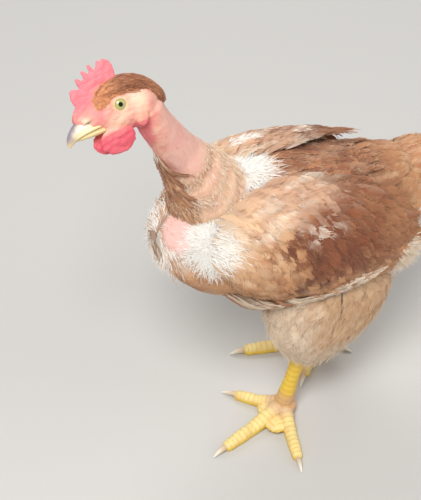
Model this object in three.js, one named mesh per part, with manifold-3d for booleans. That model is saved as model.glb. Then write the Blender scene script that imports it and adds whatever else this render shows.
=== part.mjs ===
// A naked neck pullet, life size, standing in mid stride with its head rolled to look up.
// Millimetres, +Z up. The bird faces -X and its left side is -Y. It stands on Z = 0.
import * as THREE from "three";
import { mergeVertices } from "three/addons/utils/BufferGeometryUtils.js";
import Module from "manifold-3d";

const wasm = await Module();
wasm.setup();

// Driving sizes
const GAP = 0.3; // between neighbouring pieces
const SHANK_SCUTES = 8;
const SHANK_THICK = 6.4; // half thickness of the shank
const TOE_THICK = 5.2; // half thickness of a front toe at its root
const SINK = 0.88; // height of a toe's middle over its half thickness: the rest is its flat sole
const TOE_ARCH = [11, 8, 0, 0, 0]; // least height of a toe's middle, from the foot's joint outwards
const SCUTE_RISE = 0.55;
const CLAW_LENGTH = 15;
const EYE_RADIUS = 6;
const EYE_OUT = 9.8; // eye centre, out from the middle of the head
const COMB_THICK = 4.2;

// The head's place and turn. Its own frame has the eyes on the Y axis and the bill towards -X.
const HEAD_AT = new THREE.Vector3(-162, 0, 364);
const HEAD_FORWARD = new THREE.Vector3(-0.993, -0.046, -0.111);
const HEAD_UP = new THREE.Vector3(-0.118, 0.504, 0.856);

// The feet: where each stands, and where its middle toe points, in degrees from +X
const FEET = {
  left: {
    at: [-31, -38], heading: -164, side: -1, hock: [-15, -44, 97],
    thigh: [[-12, 68], [-9, 80], [-3, 108], [3, 140], [6, 172]], fluff: [10, 30, 50, 60, 52],
  },
  right: {
    at: [36, 24], heading: 166, side: 1, hock: [48, 33, 97],
    thigh: [[46, 68], [44, 80], [38, 108], [30, 140], [22, 172]], fluff: [10, 24, 42, 56, 50],
  },
};
const JOINT_HEIGHT = 15; // of the foot's joint above the floor
const TOES = [
  { name: "inner", turn: 62, reach: 57, thick: 0.86, scutes: 6 },
  { name: "middle", turn: 0, reach: 81, thick: 1, scutes: 8 },
  { name: "outer", turn: -60, reach: 70, thick: 0.86, scutes: 7 },
  { name: "back", turn: 148, reach: 33, thick: 0.74, scutes: 3 },
];

const mix = (a, b, t) => a + (b - a) * t;
const clamp = (x, low = 0, high = 1) => Math.min(high, Math.max(low, x));
const ease = (t) => t * t * (3 - 2 * t);
const radians = THREE.MathUtils.degToRad;

// A value that runs smoothly through a list, t from 0 to 1.
function through(list, t) {
  const at = clamp(t) * (list.length - 1);
  const i = Math.min(list.length - 2, Math.floor(at));
  const f = at - i;
  const before = list[Math.max(0, i - 1)];
  const after = list[Math.min(list.length - 1, i + 2)];
  const slopeA = (list[i + 1] - before) / 2;
  const slopeB = (after - list[i]) / 2;
  const f2 = f * f;
  const f3 = f2 * f;
  return (2 * f3 - 3 * f2 + 1) * list[i] + (f3 - 2 * f2 + f) * slopeA
    + (3 * f2 - 2 * f3) * list[i + 1] + (f3 - f2) * slopeB;
}

// A closed skin over a grid of rings. place(t, angle) gives each point, and t 0 and 1 are its poles.
function wrap(place, around, along) {
  const grid = new THREE.SphereGeometry(1, around, along);
  const spots = grid.getAttribute("position");
  for (let row = 0; row <= along; row++) {
    for (let column = 0; column <= around; column++) {
      const angle = (2 * Math.PI * (column % around)) / around;
      const p = place(row / along, angle);
      spots.setXYZ(row * (around + 1) + column, p.x, p.y, p.z);
    }
  }
  return grid;
}

// A geometry's solid, its seams welded and its faces turned out.
function solid(geometry) {
  const bare = geometry.clone();
  bare.deleteAttribute("normal");
  bare.deleteAttribute("uv");
  const welded = mergeVertices(bare, 1e-4);
  const vertProperties = new Float32Array(welded.getAttribute("position").array);
  const triVerts = new Uint32Array(welded.index.array);
  const build = () => new wasm.Manifold(new wasm.Mesh({ numProp: 3, vertProperties, triVerts }));
  const first = build();
  if (first.volume() > 0) return first;
  for (let i = 0; i < triVerts.length; i += 3) {
    [triVerts[i + 1], triVerts[i + 2]] = [triVerts[i + 2], triVerts[i + 1]];
  }
  return build();
}

const joined = (pieces) => pieces.reduce((whole, piece) => whole.add(piece));

// The largest closed surface of a solid, with any hollow that fusing sealed now filled.
function largest(whole) {
  const bodies = whole.decompose();
  return bodies.reduce((best, body) => (body.volume() > best.volume() ? body : best));
}

function geometryOf(whole) {
  const mesh = whole.getMesh();
  const spots = new Float32Array(mesh.numVert * 3);
  for (let i = 0; i < mesh.numVert; i++) {
    spots.set(mesh.vertProperties.subarray(i * mesh.numProp, i * mesh.numProp + 3), i * 3);
  }
  const geometry = new THREE.BufferGeometry();
  geometry.setAttribute("position", new THREE.BufferAttribute(spots, 3));
  geometry.setIndex(new THREE.BufferAttribute(new Uint32Array(mesh.triVerts), 1));
  return geometry;
}

// A copy of a solid with its skin pushed out, for cutting the space left round it
function grown(whole, by = GAP) {
  const geometry = geometryOf(whole);
  geometry.computeVertexNormals();
  const spots = geometry.getAttribute("position");
  const normals = geometry.getAttribute("normal");
  for (let i = 0; i < spots.count; i++) {
    spots.setXYZ(i, spots.getX(i) + by * normals.getX(i), spots.getY(i) + by * normals.getY(i),
      spots.getZ(i) + by * normals.getZ(i));
  }
  return solid(geometry);
}

// A long fleshy form. Its line runs through points; wide, high and low are its half sizes along it.
// round gives the shares of its length over which its two ends round off.
class Form {
  constructor({ line, wide, high, low = high, round = [0.1, 0.1], side = [0, 1, 0] }) {
    this.curve = new THREE.CatmullRomCurve3(line.map((p) => new THREE.Vector3(...p)), false, "centripetal");
    this.wide = wide;
    this.high = high;
    this.low = low;
    this.round = round;
    this.side = new THREE.Vector3(...side);
  }

  frame(t) {
    const along = this.curve.getTangent(t);
    const across = this.side.clone().addScaledVector(along, -this.side.dot(along)).normalize();
    const up = new THREE.Vector3().crossVectors(along, across).normalize();
    if (up.z < 0) up.negate();
    return { at: this.curve.getPoint(t), along, across, up };
  }

  taper(t) {
    const [start, end] = this.round;
    const nearStart = clamp(1 - t / start);
    const nearEnd = clamp(1 - (1 - t) / end);
    return Math.sqrt(Math.max(0, 1 - nearStart * nearStart)) * Math.sqrt(Math.max(0, 1 - nearEnd * nearEnd));
  }

  // The point on the surface at t along and angle round (0 right, 90 up, 180 left), lifted off it.
  point(t, angle, lift = 0) {
    const { at, across, up } = this.frame(t);
    const taper = this.taper(t);
    const c = Math.cos(angle);
    const s = Math.sin(angle);
    const wide = through(this.wide, t) * taper + lift;
    const tall = through(s > 0 ? this.high : this.low, t) * taper + lift;
    return at.addScaledVector(across, wide * c).addScaledVector(up, tall * s);
  }

  // Rings lie closer together near the ends.
  solid(around, along, bulge = () => 0) {
    return solid(wrap((share, angle) => {
      if (share === 0 || share === 1) return this.curve.getPoint(share);
      const t = mix(share, (1 - Math.cos(Math.PI * share)) / 2, 0.6);
      return this.point(t, angle, bulge(t, angle));
    }, around, along));
  }
}

// Feathers
const VANE_ROWS = 5;
const VANE_THICK = 1.9;
const VANE_CURL = 110; // how flat a feather is across: larger is flatter
let seed = 20617;
function varied(amount) {
  // A repeatable number from -amount to +amount
  seed = (seed * 16807) % 2147483647;
  return amount * ((2 * seed) / 2147483647 - 1);
}
const vaneWidth = (s) => Math.sqrt(Math.max(0, 1 - ((s - 0.5) / 0.53) ** 2)) * mix(0.75, 1, s);

// One feather, a thin closed blade. spotAt gives its line and the way its face looks.
function vane(spotAt, wide, tilt = 0) {
  return solid(wrap((share, angle) => {
    const s = 1 - (1 - share) ** 1.35;
    const { at, out } = spotAt(s);
    if (share === 0 || share === 1) return at;
    const along = spotAt(s + 0.03).at.sub(spotAt(s - 0.03).at).normalize();
    const across = new THREE.Vector3().crossVectors(along, out).normalize();
    const x = wide * vaneWidth(s) * Math.cos(angle);
    const y = (VANE_THICK / 2) * Math.sin(angle) - (x * x) / VANE_CURL + tilt * x;
    return at.addScaledVector(across, x).addScaledVector(out, y);
  }, 4, VANE_ROWS));
}

// A feather laid on a form, from a root to a tip given as [t, degrees round]. Its root is sunk into the form.
function laidVane(form, root, tip, { wide, lift, sink = 6, tilt = 0, mirror = false }) {
  const place = (s, height) => {
    const turn = radians(mix(root[1], tip[1], s));
    return form.point(mix(root[0], tip[0], s), mirror ? Math.PI - turn : turn, height);
  };
  const height = (s) => lift - sink * (1 - ease(clamp(s / 0.3))) - clamp((s - 0.75) * 4) * 0.8;
  const spotAt = (s) => {
    const at = place(s, height(s));
    return { at, out: place(s, height(s) + 1).sub(at).normalize() };
  };
  return vane(spotAt, wide, mirror ? -tilt : tilt);
}

// A row of feathers whose roots and tips run between two ends
function vaneRow(form, row, mirror) {
  const feathers = [];
  for (let i = 0; i < row.count; i++) {
    const share = i / (row.count - 1);
    const root = row.roots[0].map((value, axis) => mix(value, row.roots[1][axis], share));
    const tip = row.tips[0].map((value, axis) => mix(value, row.tips[1][axis], share));
    tip[0] += varied(0.008);
    tip[1] += varied(1.5);
    const lift = row.lift + 0.35 * (i % 2);
    feathers.push(laidVane(form, root, tip, { ...row, lift, wide: row.wide + varied(0.5), mirror }));
  }
  return joined(feathers);
}

// The torso, with the coat's full depth: breast at t 0, the root of the tail at t 1
const torso = new Form({
  line: [[-135, 0, 214], [-112, 0, 212], [-78, 0, 209], [-40, 0, 203], [0, 0, 195], [36, 0, 187], [68, 0, 187],
    [94, 0, 192], [118, 0, 199]],
  wide: [34, 48, 61, 66, 66, 60, 49, 36, 24],
  high: [34, 44, 57, 64, 63, 62, 61, 52, 38],
  low: [30, 42, 54, 60, 66, 68, 59, 42, 22],
  round: [0.2, 0.12],
});
const TORSO_AROUND = 26;
const TORSO_ALONG = 19;
const torsoSolid = torso.solid(TORSO_AROUND, TORSO_ALONG);
const torsoRoom = grown(torsoSolid);

// The bare neck, from inside the skull to the folds of loose skin at its foot
const neck = new Form({
  line: [[-141, -4, 362], [-135, -4, 342], [-122, -2, 318], [-109, 0, 294], [-95, 0, 268], [-78, 0, 236]],
  wide: [13, 14, 14.5, 17, 27, 38],
  high: [12, 14, 15.5, 19, 27, 34],
  low: [11, 12.5, 14, 18, 28, 40],
  round: [0.08, 0.08],
});
const FOLDS = [{ at: 0.6, rise: 1.6 }, { at: 0.72, rise: 2.6 }, { at: 0.84, rise: 3 }];
const FOLD_WIDTH = 0.035;
const neckFolds = (t, angle) => FOLDS.reduce(
  (sum, fold) => sum + fold.rise * Math.exp(-(((t - fold.at + 0.03 * Math.sin(angle)) / FOLD_WIDTH) ** 2)), 0);
const neckSolid = neck.solid(16, 25, neckFolds);

// The head, in its own frame
const headTurn = new THREE.Matrix4().makeBasis(
  HEAD_FORWARD.clone().normalize().negate(),
  new THREE.Vector3().crossVectors(HEAD_UP, HEAD_FORWARD.clone().negate()).normalize(),
  HEAD_UP.clone().normalize(),
).setPosition(HEAD_AT);
const placed = (whole) => whole.transform(headTurn.toArray());

const skull = new Form({
  line: [[-34, 0, -1], [-24, 0, -3], [-12, 0, -3.5], [0, 0, -3.5], [12, 0, -3.5], [23, 0, -4], [32, 0, -5]],
  wide: [5.5, 8.8, 11.8, 14.2, 14.8, 13.4, 9],
  high: [4.5, 8.8, 14.5, 18.2, 18.4, 15.5, 9.5],
  low: [5, 9.4, 13.6, 17.4, 19, 17.5, 11],
  round: [0.12, 0.2],
});
const eyeAt = (side) => new THREE.Vector3(0, side * EYE_OUT, 0);
const ball = (centre, radius) => solid(
  new THREE.SphereGeometry(radius, 12, 8).translate(centre.x, centre.y, centre.z));

function lids(side) {
  const ring = new THREE.TorusGeometry(5.1, 1.5, 5, 12);
  ring.rotateX(Math.PI / 2).scale(1.08, 1, 0.92).translate(0, side * 13.1, 0);
  return solid(ring);
}

const EAR = { x: 15, z: -8.5 };
function earCup(side) {
  const cup = new THREE.SphereGeometry(3, 8, 6).scale(1, 0.8, 1.2).translate(EAR.x, side * 15.2, EAR.z);
  return solid(cup);
}
const lobe = (side) => solid(new THREE.SphereGeometry(1, 12, 8)
  .scale(5.4, 3, 6.6).rotateY(0.25).translate(12.5, side * 13.6, -15));

const bill = new Form({
  line: [[-14, 0, -7.5], [-24, 0, -7.5], [-32.5, 0, -9.2], [-39, 0, -12.4], [-43.6, 0, -18]],
  wide: [8, 7.6, 6, 3.8, 1.4],
  high: [7, 7.4, 5.8, 3.6, 1.2],
  low: [6, 6.2, 5.2, 4, 1.6],
  round: [0.12, 0.16],
});
const lowerBill = new Form({
  line: [[-13, 0, -16.4], [-22, 0, -15.9], [-31, 0, -16], [-38, 0, -16.8]],
  wide: [7.2, 6.6, 4.8, 2],
  high: [3.4, 3.6, 3, 1.4],
  low: [3, 3.2, 2.6, 1],
  round: [0.1, 0.2],
});
const NOSTRIL = { x: -27.5, y: 7.4, z: -3.5 };
const nostril = (side) => solid(new THREE.SphereGeometry(1, 10, 6).scale(2.6, 2.2, 1).rotateY(0.35)
  .translate(NOSTRIL.x, side * NOSTRIL.y, NOSTRIL.z));

// The comb: one blade whose points lean forwards, then a broad lobe behind
const COMB_HUB = [-4.8, 1.2];
const COMB_POINTS = [
  { turn: 34, reach: 30.5 }, { turn: 51, reach: 30 }, { turn: 65, reach: 31 }, { turn: 77, reach: 32.5 },
  { turn: 94, reach: 33.5 }, { turn: 104, reach: 32 },
];
const COMB_DIPS = [0.79, 0.8, 0.82, 0.82, 0.96];
function combOutline() {
  const spot = (turn, reach) => [
    COMB_HUB[0] - reach * Math.cos(radians(turn)), COMB_HUB[1] + reach * Math.sin(radians(turn))];
  const shape = new THREE.Shape();
  shape.moveTo(-31, -4);
  shape.lineTo(...spot(2, 29));
  shape.quadraticCurveTo(...spot(14, 24), ...spot(23, 27));
  COMB_POINTS.forEach((point, i) => {
    shape.lineTo(...spot(point.turn, point.reach));
    const next = COMB_POINTS[i + 1];
    if (next) shape.lineTo(...spot(mix(point.turn, next.turn, 0.42), point.reach * COMB_DIPS[i]));
  });
  shape.bezierCurveTo(...spot(118, 30), ...spot(126, 22), ...spot(120, 12));
  shape.lineTo(-6, 4);
  shape.lineTo(-20, -6);
  shape.closePath();
  return shape;
}
function combSolid() {
  const edge = 1.1;
  const blade = new THREE.ExtrudeGeometry(combOutline(), {
    depth: COMB_THICK - 2 * edge, bevelThickness: edge, bevelSize: edge, bevelOffset: -edge, bevelSegments: 1,
    curveSegments: 5,
  });
  blade.translate(0, 0, -(COMB_THICK - 2 * edge) / 2).rotateX(Math.PI / 2);
  return solid(blade);
}

const wattle = (side) => solid(new THREE.SphereGeometry(1, 14, 9)
  .scale(14.4, 2.9, 10.8).rotateX(side * -0.12).translate(-9.5 - side, side * 6.8, -26 - 0.5 * side));

const skullSolid = skull.solid(18, 15);
const headRoom = grown(skullSolid);

// One toe: a bent form with plates across its top and a soft pad under each joint
function toeForm(foot, toe) {
  const heading = radians(foot.heading - foot.side * -toe.turn);
  const way = new THREE.Vector3(Math.cos(heading), Math.sin(heading), 0);
  const base = new THREE.Vector3(foot.at[0], foot.at[1], 0);
  const thick = TOE_THICK * toe.thick;
  const bone = toe.reach - CLAW_LENGTH * 0.8;
  const shares = toe.name === "back" ? [-0.1, 0.3, 0.55, 0.8, 1] : [-0.02, 0.22, 0.5, 0.8, 1];
  const size = shares.map((share, i) => thick * mix(1.12, 0.68, i / 4));
  const heights = size.map((half, i) => Math.max(half * SINK, TOE_ARCH[i]));
  const line = shares.map((share, i) => base.clone().addScaledVector(way, bone * share).setZ(heights[i]).toArray());
  return {
    way, thick, end: line[4],
    form: new Form({ line, wide: size, high: size, low: size, round: [0.1, 0.1], side: [-way.y, way.x, 0] }),
  };
}

const scuteBulge = (count, from, to) => (t, angle) => {
  const share = (t - from) / (to - from);
  const top = Math.sin(angle);
  if (share < 0 || share > 1 || top < 0.2) return 0;
  return SCUTE_RISE * ((share * count) % 1) * clamp(top * 2);
};

function floorCut(whole) {
  // What lies under the floor is cut away, so that each foot stands on small flats.
  const slab = solid(new THREE.BoxGeometry(1000, 1000, 40).translate(0, 0, -20));
  return whole.subtract(slab);
}

function shankForm(foot) {
  const [x, y] = foot.at;
  const [hx, hy, hz] = foot.hock;
  const spot = (share) => [mix(x, hx, share), mix(y, hy, share), mix(JOINT_HEIGHT - 4, hz, share)];
  return new Form({
    line: [spot(-0.04), spot(0.12), spot(0.35), spot(0.6), spot(0.85), spot(1)],
    wide: [8.4, 7.4, 5.8, 5.6, 6.8, 7.6],
    high: [8, 7.6, SHANK_THICK, SHANK_THICK, 7.4, 8.4],
    round: [0.1, 0.08],
  });
}

// The web between two toes: a thin lens near the foot's joint
function web(foot, turnA, turnB, reach) {
  const middle = radians(foot.heading + (foot.side * (turnA + turnB)) / 2);
  const sheet = new THREE.SphereGeometry(1, 8, 5).scale(reach * 0.6, reach * 0.42, 2.4);
  sheet.rotateZ(middle).translate(
    foot.at[0] + Math.cos(middle) * reach * 0.42, foot.at[1] + Math.sin(middle) * reach * 0.42, 5.2);
  return solid(sheet);
}

function clawSolid(toe) {
  const [x, y, root] = toe.end;
  const at = (share, z) => [x + toe.way.x * CLAW_LENGTH * share, y + toe.way.y * CLAW_LENGTH * share, z];
  const size = [toe.thick * 0.5, toe.thick * 0.54, toe.thick * 0.4, 0.5];
  return new Form({
    line: [at(-0.25, root), at(0.15, root + 0.9), at(0.55, root + 0.3), at(1, 0.7)],
    wide: size, high: size, low: size, round: [0.1, 0.08], side: [-toe.way.y, toe.way.x, 0],
  }).solid(8, 6);
}

function footPieces(name, foot) {
  const shank = shankForm(foot).solid(10, SHANK_SCUTES * 2 + 4, scuteBulge(SHANK_SCUTES, 0.1, 0.72));
  const toes = TOES.map((toe) => ({ ...toeForm(foot, toe), toe }));
  const pad = solid(new THREE.SphereGeometry(1, 10, 6).scale(12, 11, 8.5)
    .translate(foot.at[0], foot.at[1], 8));
  const flesh = toes.map(({ form, toe }) => form.solid(7, toe.scutes * 2 + 1, scuteBulge(toe.scutes, 0.2, 0.96)));
  const webs = [web(foot, 0, 62, 19), web(foot, -60, 0, 22)];
  const claws = toes.map((toe) => clawSolid(toe));
  const clawRoom = joined(claws.map((claw) => grown(claw)));
  const whole = floorCut(joined([shank, pad, ...flesh, ...webs]).subtract(clawRoom));
  const pieces = { [`foot_${name}`]: largest(whole) };
  toes.forEach((toe, i) => { pieces[`claw_${name}_${toe.toe.name}`] = largest(floorCut(claws[i])); });
  return pieces;
}

// The feathered thigh, from the flank down to the hock
function thighForm(foot) {
  const [, hy, hz] = foot.hock;
  const side = foot.side;
  return new Form({
    line: foot.thigh.map(([x, z]) => [x, hy + side * ((z - hz) / 60), z]),
    wide: [8, 15, 23, 26, 22],
    high: foot.fluff,
    round: [0.08, 0.1],
  });
}

// The folded wing lies on its own smooth surface, a little fuller than the torso.
const carrier = new Form({
  line: [[-125, 0, 212], [-95, 0, 210], [-50, 0, 205], [0, 0, 198], [50, 0, 191], [100, 0, 188], [140, 0, 190]],
  wide: [42, 57, 67, 68.5, 64, 50, 36],
  high: [40, 52, 63, 64, 60, 48, 34],
  low: [40, 50, 60, 64, 60, 48, 34],
  round: [0.02, 0.02],
});
const WING = { t: 0.41, turn: 162, length: 0.31, spread: 50, lean: 13 };
const wingPad = (side, thick, size) => solid(wrap((share, angle) => {
  const lean = Math.PI * share;
  const x = -Math.cos(lean) * size;
  const y = Math.sin(lean) * Math.sin(angle) * size;
  const z = Math.sin(lean) * Math.cos(angle);
  const turn = radians(WING.turn + WING.spread * y + WING.lean * x);
  return carrier.point(WING.t + WING.length * x, side < 0 ? turn : Math.PI - turn, z > 0 ? thick * z : 6 * z);
}, 16, 12));

// Its rows of feathers, as [t, degrees round] on that surface: flight feathers lowest, small coverts on top
const WING_ROWS = [
  { count: 5, roots: [[0.28, 201], [0.36, 186]], tips: [[0.57, 207], [0.71, 180]], wide: 9, lift: 2.5 },
  { count: 6, roots: [[0.2, 188], [0.44, 134]], tips: [[0.49, 205], [0.74, 158]], wide: 13, lift: 4.7 },
  { count: 6, roots: [[0.17, 180], [0.38, 124]], tips: [[0.38, 203], [0.63, 134]], wide: 13, lift: 7.2 },
  { count: 5, roots: [[0.12, 168], [0.24, 126]], tips: [[0.29, 192], [0.46, 126]], wide: 13, lift: 9.2 },
];
const wingFeathered = (side) => joined([
  wingPad(side, 8.5, 0.94), ...WING_ROWS.map((row) => vaneRow(carrier, row, side > 0)),
]);

// The tail: a short fleshy root, and pairs of long feathers that slope to both sides like a tent
const TAIL_PAIRS = 5;
const TAIL_LENGTH = 138;
const TAIL_COVERTS = 2;
const tailRoot = new Form({
  line: [[86, 0, 216], [106, 0, 219], [128, 0, 217], [150, 0, 212]],
  wide: [25, 27, 23, 12], high: [18, 18, 12, 5], low: [14, 16, 12, 6], round: [0.15, 0.2],
});
function tailVane(i, side, { length, wide, lift, from, drop }) {
  const yaw = radians(side * (1.5 + 3.8 * i));
  const fall = radians(drop + 1.4 * i);
  const way = new THREE.Vector3(Math.cos(yaw) * Math.cos(fall), Math.sin(yaw) * Math.cos(fall), -Math.sin(fall));
  const out = new THREE.Vector3(0, side * Math.sin(radians(18 + 12 * i)), Math.cos(radians(18 + 12 * i)));
  const root = new THREE.Vector3(from, side * (3 + 2.2 * i), 221 - 3.4 * i + lift);
  const spotAt = (s) => ({
    at: root.clone().addScaledVector(way, length * s).add(new THREE.Vector3(0, 0, 5 * Math.sin(Math.PI * s))), out,
  });
  return vane(spotAt, wide);
}
function tailFeathered() {
  const feathers = [tailRoot.solid(12, 8)];
  for (const side of [-1, 1]) {
    for (let i = 0; i < TAIL_PAIRS; i++) {
      const length = TAIL_LENGTH - 4.5 * i + varied(3);
      feathers.push(tailVane(i, side, { length, wide: 12.5, lift: 0, from: 95, drop: 4 }));
    }
    for (let i = 0; i < TAIL_COVERTS; i++) {
      const length = 66 - 5 * i + varied(4);
      feathers.push(tailVane(i * 2.2, side, { length, wide: 12.5, lift: 6.5, from: 90, drop: 5 }));
    }
  }
  return joined(feathers);
}

// The tuft of feathers on the front of the bare neck, and the cap of feathers on the crown
const tuftForm = new Form({
  line: [[-134, -9, 306], [-130, -14, 291], [-126, -19, 275], [-121, -24, 260]],
  wide: [6, 11, 12, 6], high: [4, 6, 6.5, 4], low: [4, 5, 6, 3.5], round: [0.2, 0.25],
});
const TUFT_ROWS = [
  { count: 3, roots: [[0.4, 205], [0.4, 335]], tips: [[1, 215], [1, 325]], wide: 8, lift: 1.2, sink: 4 },
  { count: 3, roots: [[0.14, 210], [0.14, 330]], tips: [[0.74, 215], [0.74, 325]], wide: 8, lift: 2.6, sink: 5 },
];
const crownForm = new Form({
  line: [[-14, 0, 8], [-2, 0, 11], [11, 0, 11], [22, 0, 6], [31, 0, -3], [35.5, 0, -13]],
  wide: [7, 12.5, 14.2, 13, 9.4, 4], high: [3.5, 5.5, 6, 6, 4.5, 2], low: [6, 7, 7, 9, 6, 2.5], round: [0.14, 0.16],
});

const CROWN_ROWS = [
  { count: 4, roots: [[0.5, 160], [0.5, 20]], tips: [[0.97, 145], [0.97, 35]], wide: 5, lift: 1, sink: 3 },
];

// The finished pieces, each cut clear of those it grows from
const parts = {};
parts.torso = torsoSolid;
const neckRoom = grown(neckSolid);
parts.neck = largest(neckSolid.subtract(torsoRoom));
const clear = (whole, ...rooms) => largest(rooms.reduce((rest, room) => rest.subtract(room), whole));
const eyes = [-1, 1].map((side) => ball(eyeAt(side), EYE_RADIUS));
const headFlesh = joined([skullSolid, lids(-1), lids(1)]);
const headAll = clear(headFlesh, grown(eyes[0]), grown(eyes[1]), earCup(-1), earCup(1));
parts.head = clear(placed(headAll), neckRoom);
parts.eye_left = placed(eyes[0]);
parts.eye_right = placed(eyes[1]);
const faceRoom = grown(headFlesh);
const billWhole = bill.solid(12, 10);
const billRoom = grown(billWhole);
const lowerWhole = lowerBill.solid(12, 8);
const lowerRoom = grown(lowerWhole);
const combWhole = combSolid();
parts.bill_upper = placed(clear(billWhole, headRoom, nostril(-1), nostril(1)));
parts.bill_lower = placed(clear(lowerWhole, headRoom, billRoom));
parts.comb = placed(clear(combWhole, headRoom, billRoom));
const sides = { left: -1, right: 1 };
for (const [name, side] of Object.entries(sides)) {
  const pad = wingPad(side, 11, 1);
  const thigh = clear(thighForm(FEET[name]).solid(16, 11), torsoRoom, grown(pad));
  parts[`wing_${name}`] = clear(wingFeathered(side), torsoRoom, neckRoom, grown(thigh));
  parts[`thigh_${name}`] = thigh;
  const pieces = footPieces(name, FEET[name]);
  pieces[`foot_${name}`] = clear(pieces[`foot_${name}`], grown(thigh));
  Object.assign(parts, pieces);
  parts[`wattle_${name}`] = placed(clear(wattle(side), headRoom, billRoom, lowerRoom));
  parts[`earlobe_${name}`] = clear(placed(clear(lobe(side), headRoom, grown(wattle(side)))), neckRoom);
}
const crownWhole = joined([crownForm.solid(12, 8), ...CROWN_ROWS.map((row) => vaneRow(crownForm, row, false))]);
parts.crown = clear(placed(clear(crownWhole, faceRoom, grown(combWhole))), neckRoom);
const tuftWhole = joined([tuftForm.solid(10, 7), ...TUFT_ROWS.map((row) => vaneRow(tuftForm, row, false))]);
parts.neck_tuft = clear(tuftWhole, neckRoom, torsoRoom);
parts.tail = clear(tailFeathered(), torsoRoom);

const COLOURS = [
  [/^torso|^thigh/, 0xd9a878, 0.85], [/^wing/, 0xb87a52, 0.8], [/^tail/, 0xc08a58, 0.8], [/^crown/, 0xb06e3c, 0.8],
  [/^neck_tuft/, 0xa86a42, 0.85], [/^neck/, 0xe8aea0, 0.55], [/^head|^earlobe/, 0xe89a90, 0.55],
  [/^comb|^wattle/, 0xe0566c, 0.5], [/^bill/, 0xe6cf94, 0.4], [/^eye/, 0xb9bf62, 0.1], [/^foot/, 0xecc94a, 0.5],
  [/^claw/, 0xe4dccb, 0.4],
];
function materialFor(name) {
  const [, color, roughness] = COLOURS.find(([pattern]) => pattern.test(name));
  return new THREE.MeshStandardMaterial({ color, roughness, metalness: 0 });
}

// The origin is moved to the middle of the bird's box, on the floor.
const boxes = Object.values(parts).map((whole) => whole.boundingBox());
const middle = [0, 1].map((axis) => {
  const low = Math.min(...boxes.map((box) => box.min[axis]));
  const high = Math.max(...boxes.map((box) => box.max[axis]));
  return (low + high) / 2;
});

const bird = new THREE.Group();
for (const [name, whole] of Object.entries(parts)) {
  const geometry = geometryOf(whole).translate(-middle[0], -middle[1], 0);
  const mesh = new THREE.Mesh(geometry, materialFor(name));
  mesh.name = name;
  bird.add(mesh);
}
export default bird;
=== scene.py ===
"""A naked neck pullet, life size, dressed over its solids: one skin, separate feathers, horn and eyes.

Sizes inside the helpers are in millimetres in the bird's own frame: it faces -X, its left side is -Y and the
floor is Z = 0. Meshes are moved to the frame of the solids, and to metres, when they are made.
"""

import math

import bmesh
import bpy
import numpy as np
from mathutils import Matrix, Vector


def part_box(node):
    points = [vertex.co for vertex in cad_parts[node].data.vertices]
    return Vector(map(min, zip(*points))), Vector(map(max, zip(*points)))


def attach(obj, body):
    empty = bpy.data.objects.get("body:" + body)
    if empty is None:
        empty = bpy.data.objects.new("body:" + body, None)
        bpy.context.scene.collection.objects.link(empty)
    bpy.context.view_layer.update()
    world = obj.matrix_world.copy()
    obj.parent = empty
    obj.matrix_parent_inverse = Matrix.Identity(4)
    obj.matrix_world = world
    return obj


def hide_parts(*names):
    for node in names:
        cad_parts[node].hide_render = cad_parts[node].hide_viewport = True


bl_info = {
    "name": "Naked neck pullet",
    "version": (1, 0, 0),
    "blender": (4, 5, 0),
    "location": "View3D > Sidebar > Pullet",
    "description": "Builds the skin, feathers, bill, eyes and claws of a naked neck pullet over its solids",
    "category": "Add Mesh",
}

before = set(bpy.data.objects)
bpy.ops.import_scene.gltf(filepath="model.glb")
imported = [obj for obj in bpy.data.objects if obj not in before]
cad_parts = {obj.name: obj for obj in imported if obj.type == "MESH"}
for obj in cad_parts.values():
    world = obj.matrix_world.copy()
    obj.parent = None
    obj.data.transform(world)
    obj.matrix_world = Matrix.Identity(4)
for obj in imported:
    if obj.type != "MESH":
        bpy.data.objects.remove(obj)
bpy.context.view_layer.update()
RNG = np.random.default_rng(2617)

# The head's place and turn in the bird's frame
HEAD_AT = np.array([-162.0, 0.0, 364.0])
HEAD_FORWARD = np.array([-0.993, -0.046, -0.111])
HEAD_UP = np.array([-0.118, 0.504, 0.856])


def unit(v):
    """v with length 1, along its last axis."""
    return v / np.maximum(np.linalg.norm(v, axis=-1, keepdims=True), 1e-9)


HEAD_X = -unit(HEAD_FORWARD)
HEAD_Y = unit(np.cross(HEAD_UP, HEAD_X))
HEAD_TURN = np.stack([HEAD_X, HEAD_Y, unit(HEAD_UP)])


def box_middle(*nodes):
    """The middle of some nodes' boxes, in millimetres."""
    corners = [np.array(c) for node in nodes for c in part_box(node)]
    return (np.min(corners, axis=0) + np.max(corners, axis=0)) * 500


# From the bird's frame to the frame of the solids: the eyes' middle is the head's place
SHIFT = box_middle("eye_left", "eye_right") - HEAD_AT


def from_head(p):
    """Points from the head's own frame to the bird's."""
    return np.asarray(p, float) @ HEAD_TURN + HEAD_AT


def to_head(p):
    """Points from the bird's frame to the head's own."""
    return (np.asarray(p, float) - HEAD_AT) @ HEAD_TURN.T


def ease(x, low=0.0, high=1.0):
    """A smooth step from 0 at low to 1 at high."""
    s = np.clip((np.asarray(x, float) - low) / (high - low), 0, 1)
    return s * s * (3 - 2 * s)


def fade(x, low=0.0, high=1.0):
    """A smooth step from 1 at low to 0 at high."""
    return 1 - ease(x, low, high)


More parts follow.
